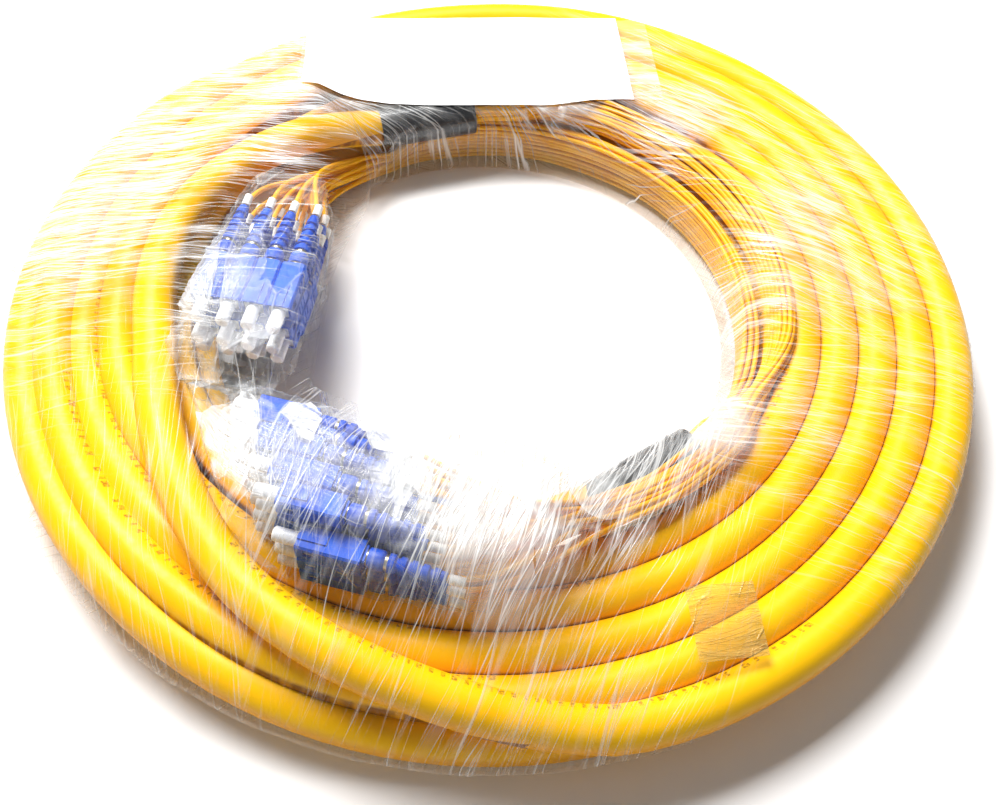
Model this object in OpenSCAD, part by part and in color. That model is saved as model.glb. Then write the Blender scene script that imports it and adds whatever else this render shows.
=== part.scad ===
// Fibre optic trunk cord: a thick breakout cable coiled in two layers of five
// turns, one crossing turn on top, a shrink sleeve and a harness of thin legs
// at each end, and two bagged bundles of capped push-pull plugs.
// Millimetres. The origin is the centre of the coil on the surface it lies on.

/* [Cable] */
// Outer diameter of the thick cable
cable_d = 15.6; // [15.2:0.1:15.9]
// Radius of the innermost turn of the upper layer
first_turn_r = 123; // [122.8:0.1:123.6]
// Distance between neighbouring turns
turn_pitch = 14.4; // [14.1:0.1:14.6]
// Turns side by side in each layer
turns = 5; // [5:1:6]
// Rise from the lower layer to the upper one
layer_rise = 13.8; // [13.5:0.1:14.1]
// Diameter of the thin tube round each fibre
leg_d = 2; // [1.6:0.1:2.1]

/* [Breakout sleeves] */
// Wall of the shrink sleeve over the breakout
sleeve_wall = 0.9; // [0.5:0.1:1]
// Length of each shrink sleeve
sleeve_len = 42; // [36:1:46]

/* [Plugs] */
// Width of the plug's outer housing
housing_w = 9; // [8.6:0.1:9]
// Height of the housing without its key
housing_h = 6.9; // [6.6:0.1:6.9]
// Height of the key on the housing
key_h = 0.5; // [0.3:0.1:0.5]
// Width of the key
key_w = 3; // [2:0.2:4]
// Length of the housing
housing_len = 21; // [19:0.5:21]
// Side wall of the housing
housing_side_wall = 0.9; // [0.8:0.05:1]
// Top and bottom wall of the housing
housing_flat_wall = 0.65; // [0.6:0.05:0.75]
// Distance that the housing slides back to unlatch
unlatch_travel = 1.4; // [1:0.1:1.4]
// Diameter of the ferrule
ferrule_d = 2.5; // [2.4:0.05:2.6]
// Length of the ferrule
ferrule_len = 10.5; // [10:0.1:11]
// Diameter of the flange behind the ferrule
flange_d = 4.3; // [4:0.1:4.4]
// Distance that the ferrule gives way against its spring
ferrule_travel = 0.8; // [0.5:0.1:0.9]
// Outer diameter of the dust cap
cap_d = 5; // [4.4:0.1:5.4]
// Length of the dust cap
cap_len = 9; // [8.5:0.1:9.2]
// Length of the boot
boot_len = 25; // [22:0.5:26]
// Outer diameter of the boot at its front collar
boot_d = 7; // [6.8:0.1:7.2]
// Outer diameter of the boot at its thin end
boot_tip_d = 4.2; // [3.8:0.1:4.8]

/* [Bundles] */
// Side gap between neighbouring plugs
plug_gap = 0.2; // [0.1:0.05:0.3]
// Turn of the first bundle about the vertical
bundle_1_turn = 83; // [82:0.5:84]
// Turn of the second bundle about the vertical
bundle_2_turn = -12; // [-13:0.5:-11]
// Wall of the clear bag round each bundle
bag_wall = 0.2; // [0.1:0.05:0.3]

/* [Wrap and label] */
// Thickness of the stretch film, all layers together
film_t = 0.3; // [0.1:0.05:0.5]
// Length of the paper label
label_l = 145; // [120:1:150]
// Width of the paper label
label_w = 52; // [40:1:54]
// Thickness of the label
label_t = 0.2; // [0.1:0.05:0.3]
// Length of the clear tape over the label
tape_l = 156; // [152:1:160]
// Width of the clear tape over the label
tape_w = 56; // [55:1:58]
// Side of the square tape patch
patch_w = 23; // [18:1:26]

/* [Hidden] */
$fn = 40;

// Heights of the layers and radii of the turns
low_z = film_t + cable_d / 2;
top_z = low_z + layer_rise;
coil_top = top_z + cable_d / 2;
low_first_r = first_turn_r - turn_pitch / 2;
last_r = first_turn_r + (turns - 1) * turn_pitch;
low_last_r = low_first_r + (turns - 1) * turn_pitch;
coil_outer_r = last_r + cable_d / 2;
film_gap = 0.1;
film_ease = 0.35;
film_inner_r = first_turn_r - 26.6;
label_z = coil_top + film_gap;
label_tape_z = label_z + label_t + 0.05;
wrap_step = 10;
wrap_normals = [225, 202.5, 180, 157.5, 135, 120, 105, 90, 75, 60, 45, 22.5, 0, -22.5, -45];

// What lies in or beside the coil moves in or out with its innermost turn
nest = first_turn_r - 123;

// Breakout sleeves: place round the ring, radius and height
sleeve_gap = 0.1;
sleeve_bore = cable_d + 2 * sleeve_gap;
sleeve_a = [109, 104 + nest, 24];
sleeve_b = [-54, 101 + nest, 24];

// Plug sizes that follow from the ones above; every x is behind the cap's end
slide_gap = 0.15;
fit_gap = 0.1;
cap_wall = 1.2;
cap_bore = ferrule_d + 2 * fit_gap;
cap_travel = 8;
ferrule_x = cap_wall + 0.5;
flange_len = 2.8;
flange_x = ferrule_x + ferrule_len - 1.5;
frame_x = cap_len + 0.2;
frame_nose = 1.2;
frame_w = housing_w - 2 * housing_side_wall - 2 * slide_gap;
frame_h = housing_h - 2 * housing_flat_wall - 2 * slide_gap;
frame_len = 16.5;
chamber_d = flange_d + 2 * fit_gap;
housing_x = cap_len - 0.4;
spring_x = flange_x + flange_len + ferrule_travel + 0.1;
backbone_x = spring_x + 5;
collar_x = frame_x + frame_len;
collar_len = housing_x + housing_len + unlatch_travel - collar_x - 0.4;
crimp_x = collar_x + collar_len;
crimp_len = 8;
neck_d = 4;
neck_len = crimp_len - 0.2;
crimp_d = 5.2;
boot_x = housing_x + housing_len + unlatch_travel + 0.2;
boot_collar = 1.8;
ring_len = 5;
ring_d = 3.2;
leg_x = crimp_x + neck_len;

// Bundles: pitch of the plugs across and up, and the levels they lie on
pitch_y = housing_w + plug_gap;
pitch_z = housing_h + key_h + plug_gap;
half_plug = housing_h / 2;
floor_z = film_t + 0.6;
shelf_z = low_z + cable_d / 2 + 1.2;
deck_z = coil_top + 0.5;
group_n = 6;

// First bundle: two plugs side by side low down, four above the lower turns,
// four in each row above them; each row is [front, first place across, count, height]
rows_1 = [
    [-34, 95.5, 2, floor_z], [-34, 95.5, 2, floor_z + pitch_z],
    [-40, 99.5, 4, shelf_z], [-40, 99.5, 4, shelf_z + pitch_z],
    [-58, 95.5, 4, shelf_z + 2 * pitch_z], [-60, 95.5, 4, shelf_z + 3 * pitch_z],
    [-57, 95.5, 4, shelf_z + 4 * pitch_z]
];
plugs_1 = [for (r = rows_1) for (k = [0 : r[2] - 1]) [r[0], r[1] + nest - k * pitch_y, r[3] + half_plug]];
plane_1 = 34;

// Second bundle: each column is [front of its low plugs, front of the rest, height, count]
columns_2 = [
    [-57, -66, shelf_z, 4], [-42, -62, shelf_z, 5], [-58, -56, deck_z, 4],
    [-50, -48, deck_z, 4], [-44, -42, deck_z, 4], [-33, -33, deck_z, 3]
];
first_column = 90.5 + nest;
plugs_2 = [for (c = [0 : len(columns_2) - 1]) for (k = [0 : columns_2[c][3] - 1])
    [k < 2 ? columns_2[c][0] : columns_2[c][1], -first_column - c * pitch_y,
     columns_2[c][2] + half_plug + k * pitch_z]];
plane_2 = 30;

// Routes: [angle, radius, height, width, thickness] of each ring of a tube
crossing_route = [
    [-64, 180.6, 21.9], [-72, 180, 22], [-80, 176, 24], [-88, 171.5, 28.5], [-95, 168, 33],
    [-102, 165, 36.5], [-110, 160.5, 37.8], [-118, 155, 37.8], [-126, 148.5, 37.8],
    [-134, 142, 37.8], [-142, 136.5, 37.8], [-150, 131.5, 37.8], [-160, 127, 37.8],
    [-170, 126, 37.8], [-180, 125, 37.8], [-190, 123, 37.5], [-200, 119.5, 36.5],
    [-211, 115.5, 34.5], [-222, 112, 31.5], [-231, 109, 27.5]
];
tail_route = [
    [-75, 101.5, 16], [-83, 102, 9.6], [-92, 102.5, 8.2], [-104, 104, 8.2],
    [-118, 108, 8.1], [-132, 112, 8.1], [-148, 115.2, 8.1], [-164, 115.8, 8.1]
];
harness_a_route = [
    [84, 106.5, 25, 9, 13], [66, 108.5, 25, 9, 13], [46, 109.5, 25, 9, 13], [26, 109.5, 25, 9, 13],
    [6, 109.5, 25, 9, 13], [-14, 109.5, 25, 9, 13], [-27, 110.5, 29, 10, 10], [-37, 112, 35.5, 14, 7],
    [-50, 112.5, 36.3, 16, 7], [-63, 112.5, 37.5, 18, 8], [-75, 113, 38, 28, 16]
];
harness_b_route = [
    [-28, 101.5, 18, 8, 14], [-14, 101.5, 13, 8, 14], [6, 101.5, 12, 8, 14], [26, 101.5, 12, 8, 14],
    [46, 101.5, 12, 8, 14], [66, 101.5, 11, 8, 14], [84, 101.8, 8.4, 9, 12], [102, 102, 7.8, 9, 12],
    [118, 102, 7.8, 9, 12], [130, 100, 11, 11, 15], [140, 95, 18, 18, 24]
];

// The same routes with their ends at the sleeves and the bundles, for the film
crossing_keys = concat(crossing_route, [[-240, 106.2, 24]]);
tail_keys = concat([[-64, 103.5, 24]], tail_route);
harness_a_keys = concat([[98, 106, 24, 14, 14]], harness_a_route, [[-84, 117, 39, 54, 46], [-91, 117, 39, 54, 46]]);
harness_b_keys = concat([[-43, 103, 24, 14, 14]], harness_b_route, [[150, 90, 30, 40, 50], [156, 90, 30, 40, 50]]);

// A point from its angle, radius and height
function place(a, r, z) = [r * cos(a), r * sin(a), z];
function spot(a, r, z) = place(a, r + nest, z);
function unit(v) = v / norm(v);

// Corners of one ring of a tube: centre, direction, width, thickness, sides
function ring_of(c, dir, w, h, n) =
    let (side = unit(cross(dir, [0, 0, 1])), up = cross(side, dir))
    [for (i = [0 : n - 1]) c + side * cos((i + 0.5) * 360 / n) * w / 2
        + up * sin((i + 0.5) * 360 / n) * h / 2];
function along(p, i) = unit(p[min(i + 1, len(p) - 1)] - p[max(i - 1, 0)]);

// A tube through the points p with the widths w and thicknesses h
module tube(p, w, h, n = 10, first = undef, last = undef) {
    m = len(p);
    rings = [for (i = [0 : m - 1]) ring_of(p[i],
        i == 0 && first != undef ? first : i == m - 1 && last != undef ? last : along(p, i),
        w[i], h[i], n)];
    pts = [for (r = rings) each r];
    sides = [for (i = [0 : m - 2]) for (k = [0 : n - 1])
        [i * n + k, i * n + (k + 1) % n, (i + 1) * n + (k + 1) % n, (i + 1) * n + k]];
    ends = [[for (k = [n - 1 : -1 : 0]) k], [for (k = [0 : n - 1]) (m - 1) * n + k]];
    polyhedron(pts, concat(sides, ends), convexity = 6);
}

// A rectangle with its corners cut off, along x
module slab(x, l, w, h, cut) {
    translate([x, 0, 0])
        rotate([90, 0, 90])
            linear_extrude(l)
                polygon([
                    [cut - w / 2, -h / 2], [w / 2 - cut, -h / 2], [w / 2, cut - h / 2],
                    [w / 2, h / 2 - cut], [w / 2 - cut, h / 2], [cut - w / 2, h / 2],
                    [-w / 2, h / 2 - cut], [-w / 2, cut - h / 2]
                ]);
}

module rod(x, l, d, d2 = undef) {
    translate([x, 0, 0])
        rotate([0, 90, 0])
            cylinder(h = l, d1 = d, d2 = d2 == undef ? d : d2);
}

// Puts a child at every plug of a bundle, or only at those of one group
module at_plugs(bundle, group = -1) {
    plugs = bundle == 1 ? plugs_1 : plugs_2;
    rotate([0, 0, bundle == 1 ? bundle_1_turn : bundle_2_turn])
        for (i = [0 : len(plugs) - 1])
            if (group < 0 || floor(i / group_n) == group)
                translate(plugs[i])
                    children();
}

// Places a child at a sleeve, with x along the ring
module at_sleeve(s) {
    translate(place(s[0], s[1], s[2]))
        rotate([0, 0, s[0] - 90])
            children();
}

// The film under the coil, where it lies flat on the surface
module film_base() {
    color("white", 0.35)
        rotate_extrude($fn = 180)
            translate([film_inner_r - 1, 0])
                square([low_last_r + cable_d / 2 - film_inner_r + 1, film_t]);
}

// What the film is pulled over at one angle: ovals of [radius, height, width, thickness]
function turned(a) = a > 180 ? turned(a - 360) : a < -180 ? turned(a + 360) : a;
function coil_ovals() = [
    [low_first_r, low_z, cable_d, cable_d], [low_last_r, low_z, cable_d, cable_d],
    [first_turn_r, top_z, cable_d, cable_d], [last_r, top_z, cable_d, cable_d],
    [film_inner_r, film_t + 1, 0, 0],
    [low_first_r - 3, label_tape_z + film_t / 2, 0.3, 0.3], [last_r + 3, label_tape_z + film_t / 2, 0.3, 0.3]
];
function cable_oval(route, a) =
    [on_route(route, a, 1) + nest, on_route(route, a, 2), cable_d, cable_d];
function leg_oval(route, a) =
    [on_route(route, a, 1) + nest, on_route(route, a, 2), on_route(route, a, 3), on_route(route, a, 4)];
function sleeve_oval(s, a) =
    let (d = sleeve_bore + 2 * sleeve_wall) [s[1] / cos(min(12, abs(turned(a - s[0])))), s[2], d, d];
function ray_hits(plan, b) = [
    for (i = [0 : len(plan) - 1])
        let (p = plan[i], e = plan[(i + 1) % len(plan)] - p, d = [cos(b), sin(b)], w = cross(d, e))
            if (abs(w) > 0.001 && cross(p, e) / w > 0 && cross(p, d) / w >= 0 && cross(p, d) / w <= 1)
                cross(p, e) / w
];
// A bag's outline across one angle, from its plan and the heights of its top and underside
function bag_ovals(plan, side, top, low, b) =
    let (hits = ray_hits([for (q = plan) [q[0], q[1] + side * nest]], b))
    len(hits) < 2 ? [] : [
        for (k = [0 : 10])
            let (r = min(hits) + (max(hits) - min(hits)) * k / 10, y = r * abs(sin(b)) - nest)
                for (z = [lookup(y, top), lookup(y, low)]) [r, z, 4 * bag_wall, 4 * bag_wall]
    ];
function wrapped_at(a) =
    let (t = turned(a), c = t > 0 ? t - 360 : t)
    concat(coil_ovals(),
        c <= -60 && c >= -242 ? [cable_oval(crossing_keys, c)] : [],
        t <= -62 && t >= -166 ? [cable_oval(tail_keys, t)] : [],
        t <= 99 && t >= -91 ? [leg_oval(harness_a_keys, t)] : [],
        t >= -44 && t <= 156 ? [leg_oval(harness_b_keys, t)] : [],
        abs(turned(t - sleeve_a[0])) < 14 ? [sleeve_oval(sleeve_a, t)] : [],
        abs(turned(t - sleeve_b[0])) < 14 ? [sleeve_oval(sleeve_b, t)] : [],
        bag_ovals(bag_plan_1, 1, bag_top_1, bag_low_1, t - bundle_1_turn),
        bag_ovals(bag_plan_2, -1, bag_top_2, bag_low_2, t - bundle_2_turn));

// How far those ovals reach along a normal, and the outline that the normals' lines enclose
function reach_of(ovals, n) = max([for (q = ovals)
    q[0] * cos(n) + q[1] * sin(n) + norm([q[2] / 2 * cos(n), q[3] / 2 * sin(n)])]);
function corner_of(h, n, i) =
    let (w = sin(n[i + 1] - n[i]))
    [(h[i] * sin(n[i + 1]) - h[i + 1] * sin(n[i])) / w, (h[i + 1] * cos(n[i]) - h[i] * cos(n[i + 1])) / w];
function wrap_outline(reaches, ease) =
    let (n = wrap_normals, m = len(n), h = [for (q = reaches) q + ease])
    concat([[(h[0] - film_t * sin(n[0])) / cos(n[0]), film_t]],
        [for (i = [0 : m - 2]) corner_of(h, n, i)],
        [[(h[m - 1] - film_t * sin(n[m - 1])) / cos(n[m - 1]), film_t]]);
function eased(q) = q[0] > low_first_r + cable_d ? [q[0] / cos(wrap_step / 2), q[1]] : q;

// The film over the coil, the harness and the bagged plugs, open where it meets its flat base
module film_wrap() {
    sections = [for (a = [0 : wrap_step : 359])
        let (ovals = [for (d = [-0.6, -0.3, 0, 0.3, 0.6]) each wrapped_at(a + d * wrap_step)],
            reaches = [for (n = wrap_normals) reach_of(ovals, n)],
            outer = wrap_outline(reaches, film_ease + film_t),
            inner = wrap_outline(reaches, film_ease),
            loop = concat([for (q = outer) eased(q)], [for (i = [len(inner) - 1 : -1 : 0]) eased(inner[i])]))
            [for (q = loop) place(a, q[0], q[1])]];
    n = len(sections[0]);
    m = len(sections);
    color("white", 0.35)
        polyhedron([for (q = sections) each q],
            [for (i = [0 : m - 1]) for (k = [0 : n - 1])
                [i * n + k, (i + 1) % m * n + k, (i + 1) % m * n + (k + 1) % n, i * n + (k + 1) % n]],
            convexity = 8);
}

// Ten turns in two layers, as one closed shape
module cable_coil() {
    color("gold")
        rotate_extrude($fn = 180) {
            for (i = [0 : turns - 1]) {
                translate([low_first_r + i * turn_pitch, low_z])
                    circle(d = cable_d);
                translate([first_turn_r + i * turn_pitch, top_z])
                    circle(d = cable_d);
            }
            polygon([
                [low_first_r, low_z], [low_last_r, low_z], [last_r, top_z], [first_turn_r, top_z]
            ]);
        }
}

// The last turn, which leaves its slot, climbs and crosses to the inner side
module cable_crossing() {
    head = place(sleeve_a[0], sleeve_a[1], sleeve_a[2]);
    dir = place(sleeve_a[0] - 90, 1, 0);
    p = concat([for (q = crossing_route) spot(q[0], q[1], q[2])], [head - dir * sleeve_len / 2]);
    color("gold")
        tube(p, [for (q = p) cable_d], [for (q = p) cable_d], 12, undef, dir);
}

// The other end of the cable, from its sleeve down to the lower layer
module cable_tail() {
    head = place(sleeve_b[0], sleeve_b[1], sleeve_b[2]);
    dir = place(sleeve_b[0] - 90, 1, 0);
    p = concat([head + dir * sleeve_len / 2], [for (q = tail_route) spot(q[0], q[1], q[2])]);
    color("gold")
        tube(p, [for (q = p) cable_d], [for (q = p) cable_d], 12, dir, undef);
}

module shrink_sleeve() {
    difference() {
        rod(-sleeve_len / 2, sleeve_len, sleeve_bore + 2 * sleeve_wall);
        rod(-sleeve_len / 2 - 1, sleeve_len + 2, sleeve_bore);
    }
}

module sleeve_a() {
    color("dimgray") at_sleeve(sleeve_a) shrink_sleeve();
}

module sleeve_b() {
    color("dimgray") at_sleeve(sleeve_b) shrink_sleeve();
}

// The potted plug inside each sleeve, where the cable divides into its legs
module breakout_a() {
    color("darkgray") at_sleeve(sleeve_a) rod(-sleeve_len / 2, sleeve_len, cable_d);
}

module breakout_b() {
    color("darkgray") at_sleeve(sleeve_b) rod(-sleeve_len / 2, sleeve_len, cable_d);
}

// A value on a route at an angle, and the route with rings evenly spaced
function on_route(route, a, i) = lookup(a, [for (q = route) [q[0], q[i]]]);
function even_route(route, count) =
    let (from = route[0][0], to = route[len(route) - 1][0])
    [for (k = [0 : count]) let (a = from + (to - from) * k / count)
        [a, for (i = [1 : 4]) on_route(route, a, i)]];

// The harness of legs from the first sleeve, clockwise to the second bundle
module harness_a() {
    head = place(sleeve_a[0], sleeve_a[1], sleeve_a[2]);
    dir = place(sleeve_a[0] - 90, 1, 0);
    tail_dir = place(bundle_2_turn, -1, 0);
    q = even_route(harness_a_route, 16);
    last = place(bundle_2_turn, plane_2, 0) + place(bundle_2_turn - 90, first_column + 2.5 * pitch_y, deck_z + 9);
    p = concat([head + dir * sleeve_len / 2], [for (r = q) spot(r[0], r[1], r[2])], [last]);
    w = concat([cable_d - 2], [for (r = q) r[3]], [54]);
    h = concat([cable_d - 2], [for (r = q) r[4]], [46]);
    color("goldenrod") tube(p, w, h, 10, dir, tail_dir);
}

// The harness of legs from the second sleeve, the other way to the first bundle
module harness_b() {
    head = place(sleeve_b[0], sleeve_b[1], sleeve_b[2]);
    dir = place(sleeve_b[0] + 90, 1, 0);
    tail_dir = place(bundle_1_turn, -1, 0);
    q = even_route(harness_b_route, 16);
    last = place(bundle_1_turn, plane_1, 0) + place(bundle_1_turn + 90, 83 + nest, shelf_z + 13);
    p = concat([head + dir * sleeve_len / 2], [for (r = q) spot(r[0], r[1], r[2])], [last]);
    w = concat([cable_d - 2], [for (r = q) r[3]], [40]);
    h = concat([cable_d - 2], [for (r = q) r[4]], [50]);
    color("goldenrod") tube(p, w, h, 10, dir, tail_dir);
}

// Label and tapes lie flat on the tops of the turns
module flat_sheet(x, y, turn, l, w, t, z) {
    translate([x, y, z])
        rotate([0, 0, turn])
            translate([-l / 2, -w / 2, 0])
                cube([l, w, t]);
}

module label() {
    color("white") flat_sheet(-18, 139.5 + nest, 7, label_l, label_w, label_t, label_z);
}

module label_tape() {
    color("white", 0.3)
        flat_sheet(-16, 139.5 + nest, 7, tape_l, tape_w, film_t / 2, label_tape_z);
}

module tape_patch() {
    corner = spot(-59.8, 163.1, 0);
    color("khaki") flat_sheet(corner[0], corner[1], 12, patch_w, patch_w, film_t, label_z);
}

// Clear space that the coil takes, with a margin
module coil_space() {
    rotate_extrude($fn = 120)
        polygon([
            [low_first_r - cable_d / 2 - 0.4, -1], [240, -1], [240, deck_z - 0.4],
            [first_turn_r - cable_d / 2 - 0.4, deck_z - 0.4],
            [first_turn_r - cable_d / 2 - 0.4, shelf_z - 0.5],
            [low_first_r - cable_d / 2 - 0.4, shelf_z - 0.5]
        ]);
}

// A bag: the overlap of a plan outline and a cross outline, hollow, open at the legs
module bag_shell(plan, profile, reach) {
    difference() {
        intersection() {
            linear_extrude(80)
                polygon(plan);
            translate([-100, 0, 0])
                rotate([90, 0, 90])
                    linear_extrude(100 + reach)
                        polygon(profile);
        }
        intersection() {
            translate([0, 0, -1])
                linear_extrude(82)
                    offset(delta = -bag_wall)
                        polygon(plan);
            translate([-101, 0, 0])
                rotate([90, 0, 90])
                    linear_extrude(102 + reach)
                        offset(delta = -bag_wall)
                            polygon(profile);
        }
    }
}

bag_plan_1 = [
    [-69.6, 62.6], [-69.6, 98.8], [-51, 104.8], [40, 104.8], [40, 62.6]
];
bag_profile_1 = [
    [81.2, floor_z - 0.3], [100.8, floor_z - 0.3], [104.8, shelf_z - 0.3],
    [104.8, shelf_z + 2 * pitch_z + 1], [100.8, shelf_z + 2 * pitch_z + 2],
    [100.8, shelf_z + 5 * pitch_z + 0.5], [62.6, shelf_z + 5 * pitch_z + 0.5],
    [62.6, shelf_z + 2 * pitch_z - 0.3], [66.6, shelf_z - 0.3], [81.2, shelf_z - 0.3]
];

bag_top_1 = [[62.6, shelf_z + 5 * pitch_z + 0.5], [100.8, shelf_z + 5 * pitch_z + 0.5], [104.8, shelf_z + 2 * pitch_z + 1]];
bag_low_1 = [[62.6, shelf_z + 2 * pitch_z - 4], [65, shelf_z - 1.5], [80, floor_z - 0.3], [100.8, floor_z - 0.3]];

module bag_1() {
    color("white", 0.25)
        difference() {
            rotate([0, 0, bundle_1_turn])
                translate([0, nest, 0])
                    bag_shell(bag_plan_1, bag_profile_1, 26);
            coil_space();
        }
}

bag_plan_2 = [
    [-76, -85.4], [-72, -104.8], [-67.6, -111.8], [-59.5, -121], [-53.5, -130],
    [-42.3, -139], [-34, -141.6], [40, -141.6], [40, -85.4]
];
bag_profile_2 = [
    [-85.4, shelf_z - 0.3], [-104.8, shelf_z - 0.3], [-104.8, deck_z - 0.3],
    [-141.6, deck_z - 0.3], [-141.6, deck_z + 3 * pitch_z + 1.5],
    [-132, deck_z + 4 * pitch_z + 1], [-104, deck_z + 4 * pitch_z + 1],
    [-85.4, shelf_z + 4 * pitch_z + 2]
];

bag_top_2 = [
    [85.4, shelf_z + 4 * pitch_z + 2], [104, deck_z + 4 * pitch_z + 1], [132, deck_z + 4 * pitch_z + 1],
    [141.6, deck_z + 3 * pitch_z + 1.5]
];
bag_low_2 = [[85.4, shelf_z - 0.3], [104.8, shelf_z - 0.3], [105, deck_z - 0.3]];

module bag_2() {
    color("white", 0.25)
        difference() {
            rotate([0, 0, bundle_2_turn])
                translate([0, -nest, 0])
                    bag_shell(bag_plan_2, bag_profile_2, 26);
            coil_space();
        }
}

// Legs behind the boots, as far as the plane where the harness spreads
module legs_of(bundle) {
    plugs = bundle == 1 ? plugs_1 : plugs_2;
    reach = bundle == 1 ? plane_1 : plane_2;
    rotate([0, 0, bundle == 1 ? bundle_1_turn : bundle_2_turn])
        for (p = plugs)
            translate([0, p[1], p[2]])
                rod(p[0] + leg_x, reach - p[0] - leg_x, leg_d, leg_d);
}

module legs_1() {
    color("goldenrod") legs_of(1);
}

module legs_2() {
    color("goldenrod") legs_of(2);
}

module number_ring() {
    difference() {
        rod(boot_x + boot_len + 1, ring_len, ring_d);
        rod(boot_x + boot_len, ring_len + 2, leg_d + 2 * fit_gap);
    }
}

module number_rings_1() {
    color("white") at_plugs(1) number_ring();
}

module number_rings_2() {
    color("white") at_plugs(2) number_ring();
}

module boot() {
    difference() {
        union() {
            rod(boot_x, boot_collar, boot_d);
            rod(boot_x + boot_collar, boot_len - boot_collar, boot_d - 0.6, boot_tip_d);
        }
        rod(boot_x - 1, crimp_x + crimp_len - boot_x + 1.2, crimp_d + 2 * fit_gap);
        rod(boot_x, boot_len + 1, leg_d + 2 * fit_gap);
    }
}

module boots_1() {
    color("royalblue") at_plugs(1) boot();
}

module boots_2() {
    color("royalblue") at_plugs(2) boot();
}

module crimp() {
    difference() {
        rod(crimp_x, crimp_len, crimp_d);
        rod(crimp_x - 1, crimp_len + 2, neck_d + 2 * fit_gap);
    }
}

module crimps_1() {
    color("silver") at_plugs(1) crimp();
}

module crimps_2() {
    color("silver") at_plugs(2) crimp();
}

// The backbone closes the frame, stops the spring and carries the crimp
module backbone() {
    difference() {
        union() {
            rod(backbone_x, collar_x - backbone_x + 0.1, chamber_d - 2 * fit_gap);
            slab(collar_x, collar_len, frame_w - 0.6, frame_h, 0.4);
            rod(collar_x + collar_len - 0.1, neck_len + 0.1, neck_d);
        }
        rod(backbone_x - 1, 60, 1.4);
    }
}

module backbones_1() {
    color("silver") at_plugs(1) backbone();
}

module backbones_2() {
    color("silver") at_plugs(2) backbone();
}

module spring() {
    difference() {
        rod(spring_x, backbone_x - spring_x, flange_d - 0.2);
        rod(spring_x - 1, backbone_x - spring_x + 2, ferrule_d + 0.4);
    }
}

module springs_1() {
    color("silver") at_plugs(1) spring();
}

module springs_2() {
    color("silver") at_plugs(2) spring();
}

module frame() {
    difference() {
        slab(frame_x, frame_len, frame_w, frame_h, 0.5);
        rod(frame_x - 1, frame_nose + 2, ferrule_d + 4 * fit_gap);
        rod(frame_x + frame_nose, frame_len, chamber_d);
    }
}

module frames_1() {
    color("lightsteelblue") at_plugs(1) frame();
}

module frames_2() {
    color("lightsteelblue") at_plugs(2) frame();
}

module dust_cap() {
    difference() {
        union() {
            rod(0, 0.5, cap_d - 1, cap_d);
            rod(0.5, cap_len - 0.5, cap_d);
        }
        rod(cap_wall, cap_len, cap_bore);
    }
}

module ferrule() {
    rod(ferrule_x, 0.4, ferrule_d - 0.6, ferrule_d);
    rod(ferrule_x + 0.4, flange_x - ferrule_x - 0.4, ferrule_d);
    rod(flange_x, flange_len, flange_d);
}

// The outer housing: an open tube with a key, side windows and grip ribs
module housing() {
    difference() {
        union() {
            slab(housing_x, housing_len, housing_w, housing_h, 0.7);
            translate([housing_x, -key_w / 2, housing_h / 2 - 0.1])
                cube([housing_len * 0.45, key_w, key_h + 0.1]);
        }
        slab(housing_x - 1, housing_len + 2, housing_w - 2 * housing_side_wall,
            housing_h - 2 * housing_flat_wall, 0.35);
        for (s = [-1, 1])
            translate([housing_x + 2.5, s * housing_w / 2 - 1.5, -1.4])
                cube([3.5, 3, 2.8]);
        for (s = [-1, 1], k = [0 : 2])
            translate([housing_x + housing_len * 0.5 + k * 2.6, s * (housing_w / 2 + 0.2) - 0.5, -2.2])
                cube([1.2, 1, 4.4]);
    }
}

module caps_1a() {
    color("whitesmoke") at_plugs(1, 0) dust_cap();
}

module caps_1b() {
    color("whitesmoke") at_plugs(1, 1) dust_cap();
}

module caps_1c() {
    color("whitesmoke") at_plugs(1, 2) dust_cap();
}

module caps_1d() {
    color("whitesmoke") at_plugs(1, 3) dust_cap();
}

module caps_2a() {
    color("whitesmoke") at_plugs(2, 0) dust_cap();
}

module caps_2b() {
    color("whitesmoke") at_plugs(2, 1) dust_cap();
}

module caps_2c() {
    color("whitesmoke") at_plugs(2, 2) dust_cap();
}

module caps_2d() {
    color("whitesmoke") at_plugs(2, 3) dust_cap();
}

module ferrules_1a() {
    color("ivory") at_plugs(1, 0) ferrule();
}

module ferrules_1b() {
    color("ivory") at_plugs(1, 1) ferrule();
}

module ferrules_1c() {
    color("ivory") at_plugs(1, 2) ferrule();
}

module ferrules_1d() {
    color("ivory") at_plugs(1, 3) ferrule();
}

module ferrules_2a() {
    color("ivory") at_plugs(2, 0) ferrule();
}

module ferrules_2b() {
    color("ivory") at_plugs(2, 1) ferrule();
}

module ferrules_2c() {
    color("ivory") at_plugs(2, 2) ferrule();
}

module ferrules_2d() {
    color("ivory") at_plugs(2, 3) ferrule();
}

module housings_1a() {
    color("blue") at_plugs(1, 0) housing();
}

module housings_1b() {
    color("blue") at_plugs(1, 1) housing();
}

module housings_1c() {
    color("blue") at_plugs(1, 2) housing();
}

module housings_1d() {
    color("blue") at_plugs(1, 3) housing();
}

module housings_2a() {
    color("blue") at_plugs(2, 0) housing();
}

module housings_2b() {
    color("blue") at_plugs(2, 1) housing();
}

module housings_2c() {
    color("blue") at_plugs(2, 2) housing();
}

module housings_2d() {
    color("blue") at_plugs(2, 3) housing();
}

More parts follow.
